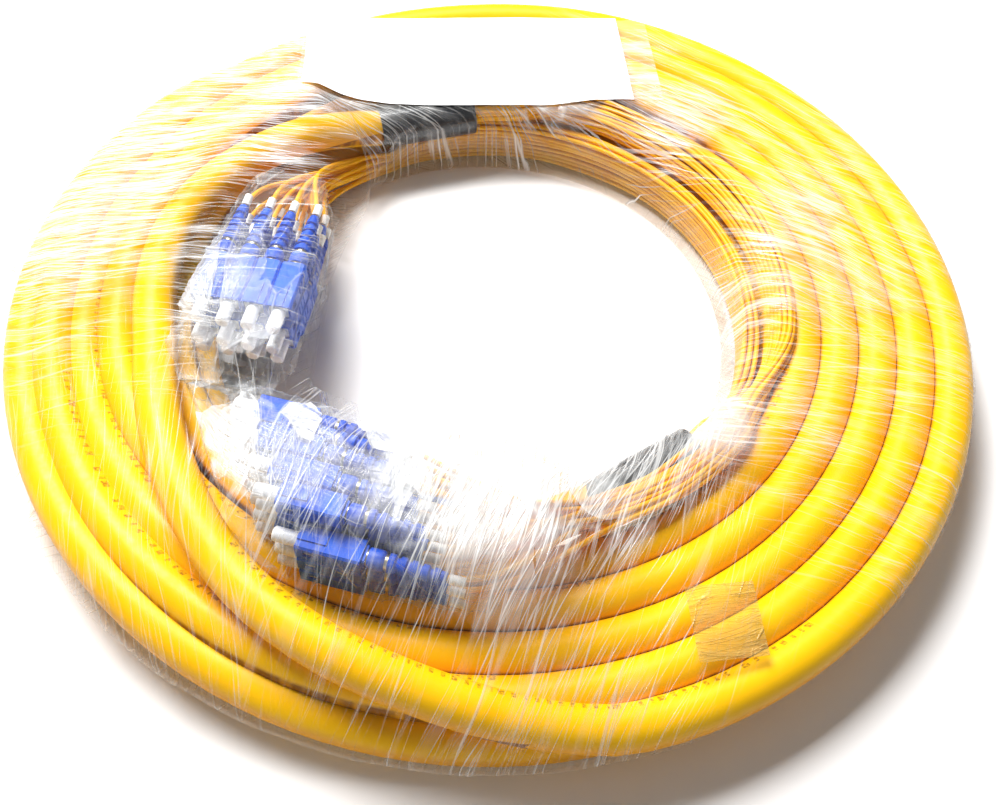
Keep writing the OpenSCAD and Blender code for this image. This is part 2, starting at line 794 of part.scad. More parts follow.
film_base();
film_wrap();
cable_coil();
cable_crossing();
cable_tail();
sleeve_a();
sleeve_b();
breakout_a();
breakout_b();
harness_a();
harness_b();
label();
label_tape();
tape_patch();
bag_1();
bag_2();
legs_1();
legs_2();
number_rings_1();
number_rings_2();
boots_1();
boots_2();
crimps_1();
crimps_2();
backbones_1();
backbones_2();
springs_1();
springs_2();
frames_1();
frames_2();
caps_1a();
caps_1b();
caps_1c();
caps_1d();
caps_2a();
caps_2b();
caps_2c();
caps_2d();
ferrules_1a();
ferrules_1b();
ferrules_1c();
ferrules_1d();
ferrules_2a();
ferrules_2b();
ferrules_2c();
ferrules_2d();
housings_1a();
housings_1b();
housings_1c();
housings_1d();
housings_2a();
housings_2b();
housings_2c();
housings_2d();
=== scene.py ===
import bpy
import math
import random
import numpy as np
from mathutils import Vector, Matrix, noise


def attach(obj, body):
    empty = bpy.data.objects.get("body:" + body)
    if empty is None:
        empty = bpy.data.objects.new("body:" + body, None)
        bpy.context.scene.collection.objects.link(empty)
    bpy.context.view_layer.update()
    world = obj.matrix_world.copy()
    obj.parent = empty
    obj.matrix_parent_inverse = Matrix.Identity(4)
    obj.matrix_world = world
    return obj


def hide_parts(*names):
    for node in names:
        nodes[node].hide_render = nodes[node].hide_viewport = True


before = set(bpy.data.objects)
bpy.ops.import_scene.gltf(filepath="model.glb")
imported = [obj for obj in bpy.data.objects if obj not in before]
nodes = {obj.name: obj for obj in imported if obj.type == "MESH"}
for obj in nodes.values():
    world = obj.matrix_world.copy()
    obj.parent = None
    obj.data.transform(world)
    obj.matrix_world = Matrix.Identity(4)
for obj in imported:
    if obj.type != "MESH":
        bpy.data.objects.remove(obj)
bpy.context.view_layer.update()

mm = 0.001
tiny = 1e-12  # keeps a division by a length off zero


def smoothValue(x, xs, ys):
    # cubic through the keys, flat where the keys are flat
    xs, ys = np.asarray(xs, float), np.asarray(ys, float)
    if xs[0] > xs[-1]:
        xs, ys = xs[::-1], ys[::-1]
    step = np.diff(xs)
    slope = np.diff(ys) / step
    tangent = np.zeros(len(xs))
    for i in range(1, len(xs) - 1):
        if slope[i - 1] * slope[i] > 0:
            a, b = 2 * step[i] + step[i - 1], step[i] + 2 * step[i - 1]
            tangent[i] = (a + b) / (a / slope[i - 1] + b / slope[i])
    tangent[0], tangent[-1] = slope[0], slope[-1]
    x = np.clip(np.asarray(x, float), xs[0], xs[-1])
    k = np.clip(np.searchsorted(xs, x) - 1, 0, len(step) - 1)
    t = (x - xs[k]) / step[k]
    t2, t3 = t * t, t * t * t
    return ((2 * t3 - 3 * t2 + 1) * ys[k] + (t3 - 2 * t2 + t) * step[k] * tangent[k]
            + (3 * t2 - 2 * t3) * ys[k + 1] + (t3 - t2) * step[k] * tangent[k + 1])


def ringRoute(keys, stepDeg):
    # keys of (angle, radius, height, ...) sampled evenly round the ring
    keys = np.array(keys, float)
    count = max(2, int(abs(keys[-1, 0] - keys[0, 0]) / stepDeg) + 1)
    angles = np.linspace(keys[0, 0], keys[-1, 0], count)
    columns = [smoothValue(angles, keys[:, 0], keys[:, i]) for i in range(1, keys.shape[1])]
    a = np.radians(angles)
    points = np.stack([columns[0] * np.cos(a), columns[0] * np.sin(a), columns[1]], -1) * mm
    return points, angles, columns


def framesAlong(path):
    path = np.asarray(path, float)
    tangent = np.gradient(path, axis=0)
    tangent /= np.linalg.norm(tangent, axis=1)[:, None] + tiny
    side = np.cross(tangent, [0, 0, 1.0])
    side /= np.linalg.norm(side, axis=1)[:, None] + tiny
    return tangent, side, np.cross(side, tangent)


def newMesh(name, verts, faces, uvs=None, smooth=True):
    mesh = bpy.data.meshes.new(name)
    mesh.from_pydata([tuple(v) for v in verts], [], [tuple(int(i) for i in f) for f in faces])
    if uvs is not None:
        layer = mesh.uv_layers.new(name="along")
        loops = np.zeros(len(mesh.loops), np.int32)
        mesh.loops.foreach_get("vertex_index", loops)
        layer.data.foreach_set("uv", np.asarray(uvs, np.float32)[loops].ravel())
    mesh.update()
    obj = bpy.data.objects.new(name, mesh)
    bpy.context.collection.objects.link(obj)
    if smooth:
        mesh.polygons.foreach_set("use_smooth", [True] * len(mesh.polygons))
    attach(obj, "coil")
    return obj


def tubeRings(path, radius, sides):
    # rings round a path, with uv in metres along and round
    tangent, side, up = framesAlong(path)
    along = np.concatenate([[0], np.cumsum(np.linalg.norm(np.diff(path, axis=0), axis=1))])
    turn = np.linspace(0, 2 * math.pi, sides + 1)
    ring = side[:, None] * np.cos(turn)[None, :, None] + up[:, None] * np.sin(turn)[None, :, None]
    verts = (path[:, None] + ring * radius).reshape(-1, 3)
    uv = np.stack([np.repeat(along, sides + 1), np.tile(turn * radius, len(path))], -1)
    n = sides + 1
    i, k = np.meshgrid(np.arange(len(path) - 1), np.arange(sides), indexing="ij")
    a = (i * n + k).ravel()
    return verts, np.stack([a, a + 1, a + n + 1, a + n], -1), uv


def tubeObject(name, paths, radius, sides):
    verts, faces, uvs, base = [], [], [], 0
    for path in paths:
        v, f, uv = tubeRings(path, radius, sides)
        verts.append(v)
        faces.append(f + base)
        uvs.append(uv)
        base += len(v)
    return newMesh(name, np.concatenate(verts), np.concatenate(faces), np.concatenate(uvs))


view = {"elevation": 54.38, "distance": 0.440, "aimX": 0.0070, "aimY": -0.0363, "roll": 3.66,
        "focalPixels": 1118, "widthPixels": 1000, "sensor": 36, "nearest": 0.01}


def makeCamera():
    data = bpy.data.cameras.new("camera")
    camera = bpy.data.objects.new("camera", data)
    bpy.context.collection.objects.link(camera)
    e, roll = math.radians(view["elevation"]), math.radians(view["roll"])
    back = Vector((0, -math.cos(e), math.sin(e)))
    place = Vector((view["aimX"], view["aimY"], 0)) + back * view["distance"]
    right = Vector((1, 0, 0))
    up = back.cross(right)
    x = right * math.cos(roll) + up * math.sin(roll)
    y = -right * math.sin(roll) + up * math.cos(roll)
    camera.matrix_world = Matrix(((x.x, y.x, back.x, place.x), (x.y, y.y, back.y, place.y),
                                  (x.z, y.z, back.z, place.z), (0, 0, 0, 1)))
    data.sensor_width = view["sensor"]
    data.lens = view["focalPixels"] * view["sensor"] / view["widthPixels"]
    data.clip_start = view["nearest"]
    bpy.context.scene.camera = camera


makeCamera()
print("camera ready")

# lowHeight and highHeight: middles of the two layers; firstTurn and turnStep: radii of the lower one
cable = {"diameter": 15.6, "sides": 28, "stepDeg": 3.0, "lowHeight": 8.1, "highHeight": 21.9,
         "firstTurn": 115.8, "turnStep": 14.4}


def cableKeys():
    # (angle, radius, height) from the near sleeve to where the crossing turn begins
    low, high = cable["lowHeight"], cable["highHeight"]
    keys = [(-66, 103, 23.8), (-70, 101.8, 20.5), (-75, 101.5, 16), (-83, 102, 9.6), (-92, 102.5, 8.2),
            (-104, 104, 8.2), (-118, 108, low), (-132, 112, low), (-148, 115.2, low), (-164, 115.8, low)]
    # lower layer: each turn lies in its slot and steps outward on the near left
    for turn in range(4):
        start = -460 - 360 * turn
        radius = cable["firstTurn"] + cable["turnStep"] * turn
        keys += [(start + 180, radius, low), (start, radius, low)]
        keys += [(start - 60, radius + cable["turnStep"], low)]
    # outermost turn, which climbs to the upper layer
    keys += [(-1720, 173.4, low), (-1862, 173.6, low), (-1884, 174.5, 9.2), (-1910, 176, 14.5),
             (-1936, 176.5, 19.5), (-1958, 176.5, 21.5), (-1985, 176.2, 21.7), (-2012, 175.5, 21.5)]
    # it dips between the layers under the label and comes up innermost
    keys += [(-2030, 172, 17.5), (-2042, 165, 15), (-2072, 146, 14.9), (-2100, 128, 15), (-2116, 123.8, 18.5),
             (-2135, 123, high)]
    # upper layer, from the inside out
    keys += [(-2240, 123, high), (-2300, 123, high), (-2345, 122, high), (-2380, 122, high),
             (-2410, 126, high), (-2450, 137.4, high)]
    keys += [(-2560, 137.4, high), (-2622, 137.2, high), (-2655, 139.5, 23), (-2680, 142, 24.6),
             (-2715, 142.5, 24.6), (-2745, 142.8, 23.6), (-2775, 146, high), (-2810, 151.8, high)]
    keys += [(-2920, 151.8, high), (-2985, 151.8, high), (-3020, 153.5, 21.8), (-3045, 154.6, 21.6),
             (-3100, 155, 21.7), (-3135, 159.5, high), (-3170, 166.2, high)]
    keys += [(-3280, 166.2, high), (-3345, 166.2, high), (-3380, 165.8, 23.2), (-3405, 165.5, 24.6),
             (-3440, 165.6, 24.6), (-3470, 168.5, 23.4), (-3500, 175, 22.2), (-3530, 180.6, high)]
    return keys + [(-3600, 180.6, high), (-3664, 180.6, high)]


# the last turn climbs over the others and comes down at the far sleeve
crossingKeys = [(-3672, 180, 22), (-3680, 176, 24), (-3688, 171.5, 28.5), (-3695, 168, 33),
                (-3702, 165, 36.5), (-3710, 160.5, 37.8), (-3718, 155, 37.8), (-3726, 148.5, 37.8),
                (-3734, 142, 37.8), (-3742, 136.5, 37.8), (-3750, 131.5, 37.8), (-3760, 127, 37.8),
                (-3770, 126, 37.8), (-3780, 125, 37.8), (-3790, 123, 37.5), (-3800, 119.5, 36.5),
                (-3811, 115.5, 34.5), (-3822, 112, 31.5), (-3831, 109, 27.5), (-3839.5, 106.2, 24.2)]


def makeCable():
    points = ringRoute(cableKeys() + crossingKeys, cable["stepDeg"])[0]
    obj = tubeObject("trunkCable", [points], cable["diameter"] / 2 * mm, cable["sides"])
    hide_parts("cable_coil", "cable_crossing", "cable_tail")
    return obj


trunkCable = makeCable()

# turns: which way each bundle points; floor, shelf and deck: heights of the lowest plugs' middles
plugSizes = {"turns": {1: 83, 2: -12}, "pitchAcross": 9.2, "pitchUp": 7.6,
             "floor": 0.9 + 3.45, "shelf": 17.1 + 3.45, "deck": 30.2 + 3.45, "length": 56.2}


def plugPlaces(bundle):
    # front of each plug: along its axis, across it, height
    across, up = plugSizes["pitchAcross"], plugSizes["pitchUp"]
    floor, shelf, deck = plugSizes["floor"], plugSizes["shelf"], plugSizes["deck"]
    if bundle == 1:
        rows = [(-34, 95.5, 2, floor), (-34, 95.5, 2, floor + up), (-40, 99.5, 4, shelf),
                (-40, 99.5, 4, shelf + up), (-58, 95.5, 4, shelf + 2 * up),
                (-60, 95.5, 4, shelf + 3 * up), (-57, 95.5, 4, shelf + 4 * up)]
        return [(x, y - k * across, z) for x, y, count, z in rows for k in range(count)]
    # the two lowest plugs of a column lie a little apart from the others along the axis
    columns = [(-57, -66, shelf, 4), (-42, -62, shelf, 5), (-58, -56, deck, 4),
               (-50, -48, deck, 4), (-44, -42, deck, 4), (-33, -33, deck, 3)]
    return [(lowX if k < 2 else highX, -90.5 - i * across, z + k * up)
            for i, (lowX, highX, z, count) in enumerate(columns) for k in range(count)]


def bundleAxis(bundle):
    a = math.radians(plugSizes["turns"][bundle])
    return math.cos(a), math.sin(a)


def bundlePoint(bundle, x, y, z):
    c, s = bundleAxis(bundle)
    return np.array([x * c - y * s, x * s + y * c, z]) * mm


# routes: (angle, radius, height, width, height of the oval); seats: (radius, height) where the wrap
# holds the strands against the coil; spreads: (angle, share) of being held there
harness = {
    "strands": 24, "legDiameter": 2.0, "sides": 8, "stepDeg": 2.0,
    "seatPitch": (0.42, 0.245), "wander": 0.42, "wanderRate": 0.045, "heldWander": (0.9, 2.2),
    "routeA": [(97.6, 106.1, 24, 12.5, 12.5), (92, 106.2, 24.5, 10, 12), (84, 107.5, 25, 9, 12.5),
               (66, 111.5, 25, 9, 13), (46, 112.5, 25, 9.5, 13), (26, 112.5, 25, 9.5, 13),
               (6, 112.5, 25, 9.5, 13), (-14, 111, 25.5, 9.5, 13), (-27, 110.2, 28.5, 10, 10),
               (-37, 112, 34.5, 14, 7), (-50, 112.5, 35.8, 16, 6.5), (-63, 112.5, 37, 17, 8)],
    "routeB": [(-42.4, 103, 24, 12.5, 12.5), (-36, 102, 21.5, 10, 12), (-28, 101.6, 18, 8.4, 14),
               (-14, 101.5, 13, 8.4, 14.5), (6, 103.5, 11.5, 8.4, 15), (26, 104, 11.5, 8.4, 15),
               (46, 104, 11.5, 8.4, 15), (66, 104, 11, 8.4, 14), (84, 103.5, 10.5, 9, 12),
               (102, 103, 9.5, 9, 12), (118, 102, 7.8, 9, 12), (130, 100.5, 11, 11, 15)],
    "seatsA": [(123 + reach * math.cos(math.radians(a)), 21.9 + reach * math.sin(math.radians(a)))
               for reach, first, step in ((9.1, 117, 13.0), (11.1, 119, 10.7), (13.1, 121, 9.0))
               for a in [first + step * k for k in range(8)]],
    "seatsB": [(r, z + 2.15 * k) for r, z in ((106.6, 4.0), (104.4, 5.0), (102.3, 3.8)) for k in range(8)],
    "spreadA": [(98, 0), (88, 0), (72, 1), (-8, 1), (-26, 0), (-63, 0)],
    "spreadB": [(-42.4, 0), (-34, 0), (-16, 1), (106, 1), (120, 0), (130, 0)],
}


def ovalSeats(count):
    # the innermost places of a close packing in a unit circle, lowest first
    across, up = harness["seatPitch"]
    seats = []
    for row in range(-6, 7):
        for column in range(-4, 5):
            x, y = (column + 0.5 * (row % 2)) * across, row * up
            seats.append((math.hypot(x, y), x, y))
    return sorted([(x, y) for reach, x, y in sorted(seats)[:count]], key=lambda seat: seat[1])


def strandPaths(side, seed):
    # each strand keeps a slowly wandering place in the oval, or in the layer on the coil's inner side
    points, angles, columns = ringRoute(harness["route" + side], harness["stepDeg"])
    spread = sorted(harness["spread" + side])
    shares = np.interp(angles, [k[0] for k in spread], [k[1] for k in spread])
    shares = shares * shares * (3 - 2 * shares)
    width, height = columns[2], columns[3]
    tangent, aside, up = framesAlong(points)
    rnd = random.Random(seed)
    seats = ovalSeats(harness["strands"])
    wallSeats = sorted(harness["seats" + side], key=lambda seat: seat[1] + 0.3 * seat[0])
    heldAcross, heldUp = harness["heldWander"]
    legRadius = harness["legDiameter"] / 2
    paths = []
    for (x, y), (r, z) in zip(seats, wallSeats):
        offset = rnd.random() * 50
        line = []
        for i, point in enumerate(points):
            s = i * harness["stepDeg"] * harness["wanderRate"]
            wx = noise.noise(Vector((offset, s, 1.5))) * harness["wander"]
            wy = noise.noise(Vector((offset + 9, s, 7.5))) * harness["wander"]
            px, py = x + wx, y + wy
            reach = max(1, math.hypot(px, py))
            px, py = px / reach, py / reach
            loose = point + aside[i] * px * (width[i] / 2 - legRadius) * mm
            loose = loose + up[i] * py * (height[i] / 2 - legRadius) * mm
            outward = np.array([point[0], point[1], 0.0]) / math.hypot(point[0], point[1])
            held = outward * (r + heldAcross * wx) * mm + np.array([0, 0, (z + heldUp * wy) * mm])
            line.append(loose * (1 - shares[i]) + held * shares[i])
        paths.append(np.array(line))
    return np.mean(paths, axis=0), paths


def makeHarness(name, node, side, seed):
    centre, paths = strandPaths(side, seed)
    obj = tubeObject(name, paths, harness["legDiameter"] / 2 * mm, harness["sides"])
    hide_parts(node)
    return obj, paths


legsAlongA, strandsA = makeHarness("legsAlongA", "harness_a", "A", 3)
legsAlongB, strandsB = makeHarness("legsAlongB", "harness_b", "B", 8)

# leave and arrive: how far a leg keeps its direction, as a share of the way and in metres, each with
# its random part; inBoot: how far it goes into its boot
fan = {"steps": 22, "leave": (0.35, 0.1), "arrive": (0.018, 0.006), "inBoot": 3}


def fanPaths(bundle, strands, seed):
    # the last stretch of each leg, spread out to its own boot
    rnd = random.Random(seed)
    reach = plugSizes["length"] - fan["inBoot"]
    ends = [bundlePoint(bundle, x + reach, y, z) for x, y, z in plugPlaces(bundle)]
    c, s = bundleAxis(bundle)
    axis, across = np.array([c, s, 0]), np.array([s, -c, 0])
    order = sorted(range(len(ends)), key=lambda i: (round(ends[i][2], 3), ends[i] @ across))
    heads = sorted(range(len(strands)), key=lambda i: strands[i][-1][2])
    (leave, leaveMore), (arrive, arriveMore) = fan["leave"], fan["arrive"]
    t = np.linspace(0, 1, fan["steps"])[:, None]
    paths = []
    for i, h in zip(order, heads):
        p0, p3 = strands[h][-1], ends[i]
        onward = p0 - strands[h][-3]
        onward = onward / np.linalg.norm(onward)
        p1 = p0 + onward * np.linalg.norm(p3 - p0) * (leave + leaveMore * rnd.random())
        p2 = p3 + axis * (arrive + arriveMore * rnd.random())
        paths.append((1 - t) ** 3 * p0 + 3 * (1 - t) ** 2 * t * p1 + 3 * (1 - t) * t * t * p2 + t ** 3 * p3)
    return paths


def makeFan(name, node, bundle, strands, seed):
    paths = fanPaths(bundle, strands, seed)
    obj = tubeObject(name, paths, harness["legDiameter"] / 2 * mm, harness["sides"])
    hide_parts(node)
    return obj


legsToPlugsA = makeFan("legsToPlugsA", "legs_2", 2, strandsA, 5)
legsToPlugsB = makeFan("legsToPlugsB", "legs_1", 1, strandsB, 6)
print("harnesses ready")

boot = {"sides": 20, "sharpAngle": 40, "ribs": 5, "firstRib": 36.6, "ribStep": 3.6,
        "radius": 3.3, "taper": 0.22}


def bootProfile():
    # (distance from the plug's front, radius) down a segmented strain relief
    profile = [(31.2, 2.7), (31.2, 3.3), (31.6, 3.5), (35.4, 3.5), (35.9, 3.3)]
    for k in range(boot["ribs"]):
        x, r = boot["firstRib"] + boot["ribStep"] * k, boot["radius"] - boot["taper"] * k
        profile += [(x, r - 0.75), (x + 0.9, r - 0.8), (x + 1.15, r), (x + 3.0, r - 0.12), (x + 3.3, r - 0.5)]
    return profile + [(54.8, 1.95), (55.9, 1.9), (56.2, 1.75), (56.2, 1.1)]


def revolve(profile, sides):
    # profile of (x, r) round the x axis, in mm
    verts, faces = [], []
    for x, r in profile:
        for k in range(sides):
            a = 2 * math.pi * k / sides
            verts.append((x, r * math.cos(a), r * math.sin(a)))
    for i in range(len(profile) - 1):
        for k in range(sides):
            a, b = i * sides + k, i * sides + (k + 1) % sides
            faces.append((a, b, b + sides, a + sides))
    return np.array(verts), np.array(faces)


def makeBoots(bundle):
    verts, faces = revolve(bootProfile(), boot["sides"])
    c, s = bundleAxis(bundle)
    turn = np.array([[c, -s, 0], [s, c, 0], [0, 0, 1]])
    places = plugPlaces(bundle)
    allVerts = np.concatenate([((verts + np.array(place)) @ turn.T) * mm for place in places])
    allFaces = np.concatenate([faces + i * len(verts) for i in range(len(places))])
    obj = newMesh("boots" + "AB"[bundle - 1], allVerts, allFaces, smooth=False)
    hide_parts("boots_%d" % bundle)
    obj.data.set_sharp_from_angle(angle=math.radians(boot["sharpAngle"]))
    obj.data.polygons.foreach_set("use_smooth", [True] * len(obj.data.polygons))
    return obj


bootsA, bootsB = makeBoots(1), makeBoots(2)
print("boots ready")


def convexHull(points):
    pts = points[np.lexsort((points[:, 1], points[:, 0]))]

    def half(seq):
        out = []
        for p in seq:
            while len(out) > 1 and ((out[-1][0] - out[-2][0]) * (p[1] - out[-2][1])
                                    - (out[-1][1] - out[-2][1]) * (p[0] - out[-2][0])) <= 0:
                out.pop()
            out.append((float(p[0]), float(p[1])))
        return out[:-1]
    return np.array(half(pts) + half(pts[::-1]))


def hullReach(hull, centre, directions):
    # distance from the centre to the hull in each direction
    a, b = hull - centre, np.roll(hull, -1, axis=0) - centre
    edge = b - a
    normal = np.stack([edge[:, 1], -edge[:, 0]], -1)
    normal /= np.linalg.norm(normal, axis=1)[:, None] + tiny
    offset = (normal * a).sum(1)
    speed = directions @ normal.T
    with np.errstate(divide="ignore", invalid="ignore"):
        # edges that face away are never reached
        reach = np.where(speed > 1e-6, offset[None] / speed, np.inf)
    return reach.min(axis=1)


def shownVerts(obj, step=1):
    co = np.zeros(len(obj.data.vertices) * 3, np.float32)
    obj.data.vertices.foreach_get("co", co)
    return co.reshape(-1, 3)[::step].astype(float)


def blur(grid, axis, times, wrap=True):
    for k in range(times):
        if wrap:
            before, after = np.roll(grid, 1, axis), np.roll(grid, -1, axis)
        else:
            n = grid.shape[axis]
            before = grid.take([0] + list(range(n - 1)), axis)
            after = grid.take(list(range(1, n)) + [n - 1], axis)
        grid = 0.25 * before + 0.5 * grid + 0.25 * after
    return grid


def ridges(p, scale, seed):
    # 1 on the crest of a fold, falling to 0 on both sides
    q = Vector(p) * scale + Vector((seed * 7.3, seed * 3.1, seed))
    return 1 - min(1, abs(noise.noise(q)) * 2.6)


# from and to: reach along the plugs; inner and outer: the sides that a bag stays between; room: space
# for the caps when they are pulled off; window and fewest: how near and how many points make a section;
# folds: (height, scale, seed) of three sizes of wrinkle
bag = {
    "room": 8.6, "gap": 0.9, "step": 1.6, "round": 144, "window": 7, "fewest": 8, "seam": 9.0,
    "folds": ((2.4, 0.045, 0), (1.1, 0.10, 5), (0.45, 0.24, 9)),
    1: {"from": -79, "to": 26, "low": 0.45, "high": 55.3, "inner": 62.9,
        "outer": [(-75, 104.6), (30, 104.6)], "seed": 4},
    2: {"from": -85, "to": 40, "low": 16.3, "high": 61.2, "inner": -85.6,
        "outer": [(-85, -88), (-76, -97), (-72, -104.6), (-67.6, -111.6), (-59.5, -120.8), (-53.5, -129.8),
                  (-42.3, -138.6), (-34, -141.2), (45, -141.2)], "seed": 9},
}


def bagCloud(bundle, boots, fan):
    # points of all that the bag holds, turned to (along, across, height) in mm
    c, s = bundleAxis(bundle)
    cloud = []
    for name, obj in nodes.items():
        kind, _, mark = name.rpartition("_")
        if kind in ("caps", "housings", "ferrules") and mark[0] == str(bundle):
            cloud.append(shownVerts(obj))
            if kind == "caps":
                cloud.append(shownVerts(obj) - np.array([c, s, 0]) * bag["room"] * mm)
    cloud = np.concatenate(cloud + [shownVerts(boots, 3), shownVerts(fan, 2)]) / mm
    local = np.stack([cloud[:, 0] * c + cloud[:, 1] * s, -cloud[:, 0] * s + cloud[:, 1] * c, cloud[:, 2]], -1)
    first, last = bag[bundle]["from"] - 1, bag[bundle]["to"] + 6
    return local[(local[:, 0] > first) & (local[:, 0] < last)]


def bagSections(bundle, local, directions):
    # middle of each cross section, and how far the skin stands from it in each direction
    xs = np.arange(bag[bundle]["from"], bag[bundle]["to"] + 0.01, bag["step"])
    slices = [local[np.abs(local[:, 0] - x) < bag["window"]][:, 1:] for x in xs]
    good = np.array([len(near) >= bag["fewest"] for near in slices])
    hulls = {i: convexHull(slices[i]) for i in np.where(good)[0]}
    middle = np.zeros((len(xs), 2))
    for i, hull in hulls.items():
        middle[i] = (hull.min(0) + hull.max(0)) / 2
    for k in range(2):
        middle[:, k] = np.interp(xs, xs[good], middle[good, k])
    reach = np.zeros((len(xs), len(directions)))
    for i, hull in hulls.items():
        reach[i] = hullReach(hull, middle[i], directions)
    first, last = np.where(good)[0][[0, -1]]
    reach[:first] = reach[first]
    reach[last + 1:] = reach[last]
    middle = blur(middle, 0, 14, wrap=False)
    # measured again from the smoothed middle, so that the skin still covers every plug
    for i, hull in hulls.items():
        reach[i] = hullReach(hull, middle[i], directions)
    reach = np.maximum(blur(blur(reach, 0, 5, wrap=False), 1, 2), reach * 0.985) + bag["gap"]
    # the closed end draws to a flat seam
    flat = np.abs(directions[:, 0])
    for i in range(len(xs)):
        t = (xs[i] - xs[0]) / bag["seam"]
        if t < 1:
            shrink = 0.10 + 0.90 * math.sqrt(max(0, t * (2 - t)))
            reach[i] *= shrink * (1 - flat) + flat * (0.72 + 0.28 * t)
    return xs, middle, reach


def seamFaces(count):
    # closes the first ring by joining its opposite points
    top = list(range(count // 2 + 1))
    low = [0] + list(range(count - 1, count // 2 - 1, -1))
    faces = []
    for a, b, c, d in zip(top[:-1], top[1:], low[1:], low[:-1]):
        corners = tuple(dict.fromkeys((a, b, c, d)))
        if len(corners) >= 3:
            faces.append(corners)
    return faces


def makeBag(bundle, boots, fan):
    spec = bag[bundle]
    c, s = bundleAxis(bundle)
    count = bag["round"]
    psi = np.linspace(0, 2 * math.pi, count + 1)[:-1]
    directions = np.stack([np.cos(psi), np.sin(psi)], -1)
    xs, middle, reach = bagSections(bundle, bagCloud(bundle, boots, fan), directions)
    outerX, outerY = zip(*spec["outer"])
    verts, uvs = [], []
    for i, x in enumerate(xs):
        least, most = sorted((spec["inner"], float(np.interp(x, outerX, outerY))))
        for k in range(count + 1):
            d, r = directions[k % count], reach[i, k % count]
            y, z = middle[i, 0] + d[0] * r, middle[i, 1] + d[1] * r
            p = (x, y, z)
            shapes = ((x * 0.6, y, z), (x, y * 1.3, z * 1.3), p)
            fold = sum(size * ridges(shape, scale, spec["seed"] + seed) ** 2
                       for shape, (size, scale, seed) in zip(shapes, bag["folds"]))
            y, z = y + d[0] * fold, z + d[1] * fold
            along = x + 0.8 * noise.noise(Vector(p) * 0.08)
            y = min(max(y, least), most)
            z = min(max(z, spec["low"] + 0.05 * ridges(p, 0.4, 2)), spec["high"] - 0.2 * ridges(p, 0.3, 3))
            verts.append(np.array([along * c - y * s, along * s + y * c, z]) * mm)
            uvs.append((x, k * 1.1))
    n = count + 1
    faces = [(a, a + 1, a + n + 1, a + n) for i in range(len(xs) - 1) for a in range(i * n, i * n + count)]
    obj = newMesh("bagFilm" + "AB"[bundle - 1], np.array(verts), faces + seamFaces(count), np.array(uvs) * mm)
    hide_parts("bag_%d" % bundle)
    return obj


bagFilmA, bagFilmB = makeBag(1, bootsA, legsToPlugsB), makeBag(2, bootsB, legsToPlugsA)
print("bags ready")

# centre: a ring inside the coil that the sections are measured from; foot: the film's inner edge on
# the floor; inside: how far the CAD wrap's form is kept below its surface; grain: metres of uv per radian
film = {"stepDeg": 1.5, "split": 3, "round": 160, "window": 1.6, "gap": 0.35, "ripple": 0.30, "lowest": 0.25,
        "centre": (142, 19), "foot": (95.9, 0.5), "flatten": 0.45, "inside": 1.2, "grain": 0.14}


def wrapCloud():
    # points of all that the wrap goes round, in mm
    whole = (trunkCable, bagFilmA, bagFilmB, nodes["sleeve_a"], nodes["sleeve_b"])
    legs = (legsAlongA, legsAlongB, legsToPlugsA, legsToPlugsB)
    return np.concatenate([shownVerts(obj) for obj in whole] + [shownVerts(obj, 2) for obj in legs]) / mm


def edgePoints(obj, count):
    # points spread evenly along every edge of a mesh, in mm
    co = shownVerts(obj) / mm
    ends = np.zeros(len(obj.data.edges) * 2, np.int32)
    obj.data.edges.foreach_get("vertices", ends)
    a, b = co[ends[0::2]], co[ends[1::2]]
    return np.concatenate([a * (1 - t) + b * t for t in np.linspace(0, 1, count)])


def heldWrap():
    # the wrap keeps at least the form of its CAD solid, just inside its surface
    points = edgePoints(nodes["film_wrap"], 12)
    radius = np.hypot(points[:, 0], points[:, 1])
    out = np.stack([radius, points[:, 2]], -1) - film["centre"]
    out *= (1 - film["inside"] / np.linalg.norm(out, axis=1))[:, None]
    scale = (out[:, 0] + film["centre"][0]) / radius
    return np.stack([points[:, 0] * scale, points[:, 1] * scale, out[:, 1] + film["centre"][1]], -1)


def filmSections():
    # the wrap's (radius, height) all round each cross section, drawn tight over what it holds
    cloud = np.concatenate([wrapCloud(), heldWrap()])
    angle = np.degrees(np.arctan2(cloud[:, 1], cloud[:, 0])) % 360
    order = np.argsort(angle)
    section = (np.stack([np.hypot(cloud[:, 0], cloud[:, 1]), cloud[:, 2]], -1) - film["centre"])[order]
    wrappedAngle = np.concatenate([angle[order] + turn for turn in (-360, 0, 360)])
    wrappedSection = np.concatenate([section] * 3)
    # the section is flattened first, so that points come evenly along its top and bottom
    flat = np.array([film["flatten"], 1.0])
    psi = np.linspace(0, 2 * math.pi, film["round"] + 1)[:-1]
    directions = np.stack([np.cos(psi), np.sin(psi)], -1)
    foot = np.array([film["foot"]]) - film["centre"]
    angles = np.arange(0, 360, film["stepDeg"])
    reach = np.zeros((len(angles), len(psi)))
    for i, a in enumerate(angles):
        first, last = np.searchsorted(wrappedAngle, [a - film["window"], a + film["window"]])
        hull = convexHull(np.concatenate([wrappedSection[first:last], foot]))
        reach[i] = hullReach(hull * flat, np.zeros(2), directions)
    reach = blur(np.maximum(blur(reach, 0, 4), reach), 0, 1)
    rows = []
    for row in reach:
        p = directions * row[:, None] / flat
        p = p * (1 + film["gap"] / np.linalg.norm(p, axis=1)[:, None]) + film["centre"]
        rows.append(np.stack([p[:, 0], np.maximum(p[:, 1], film["lowest"])], -1))
    return angles, np.array(rows)


filmAngles, filmRows = filmSections()


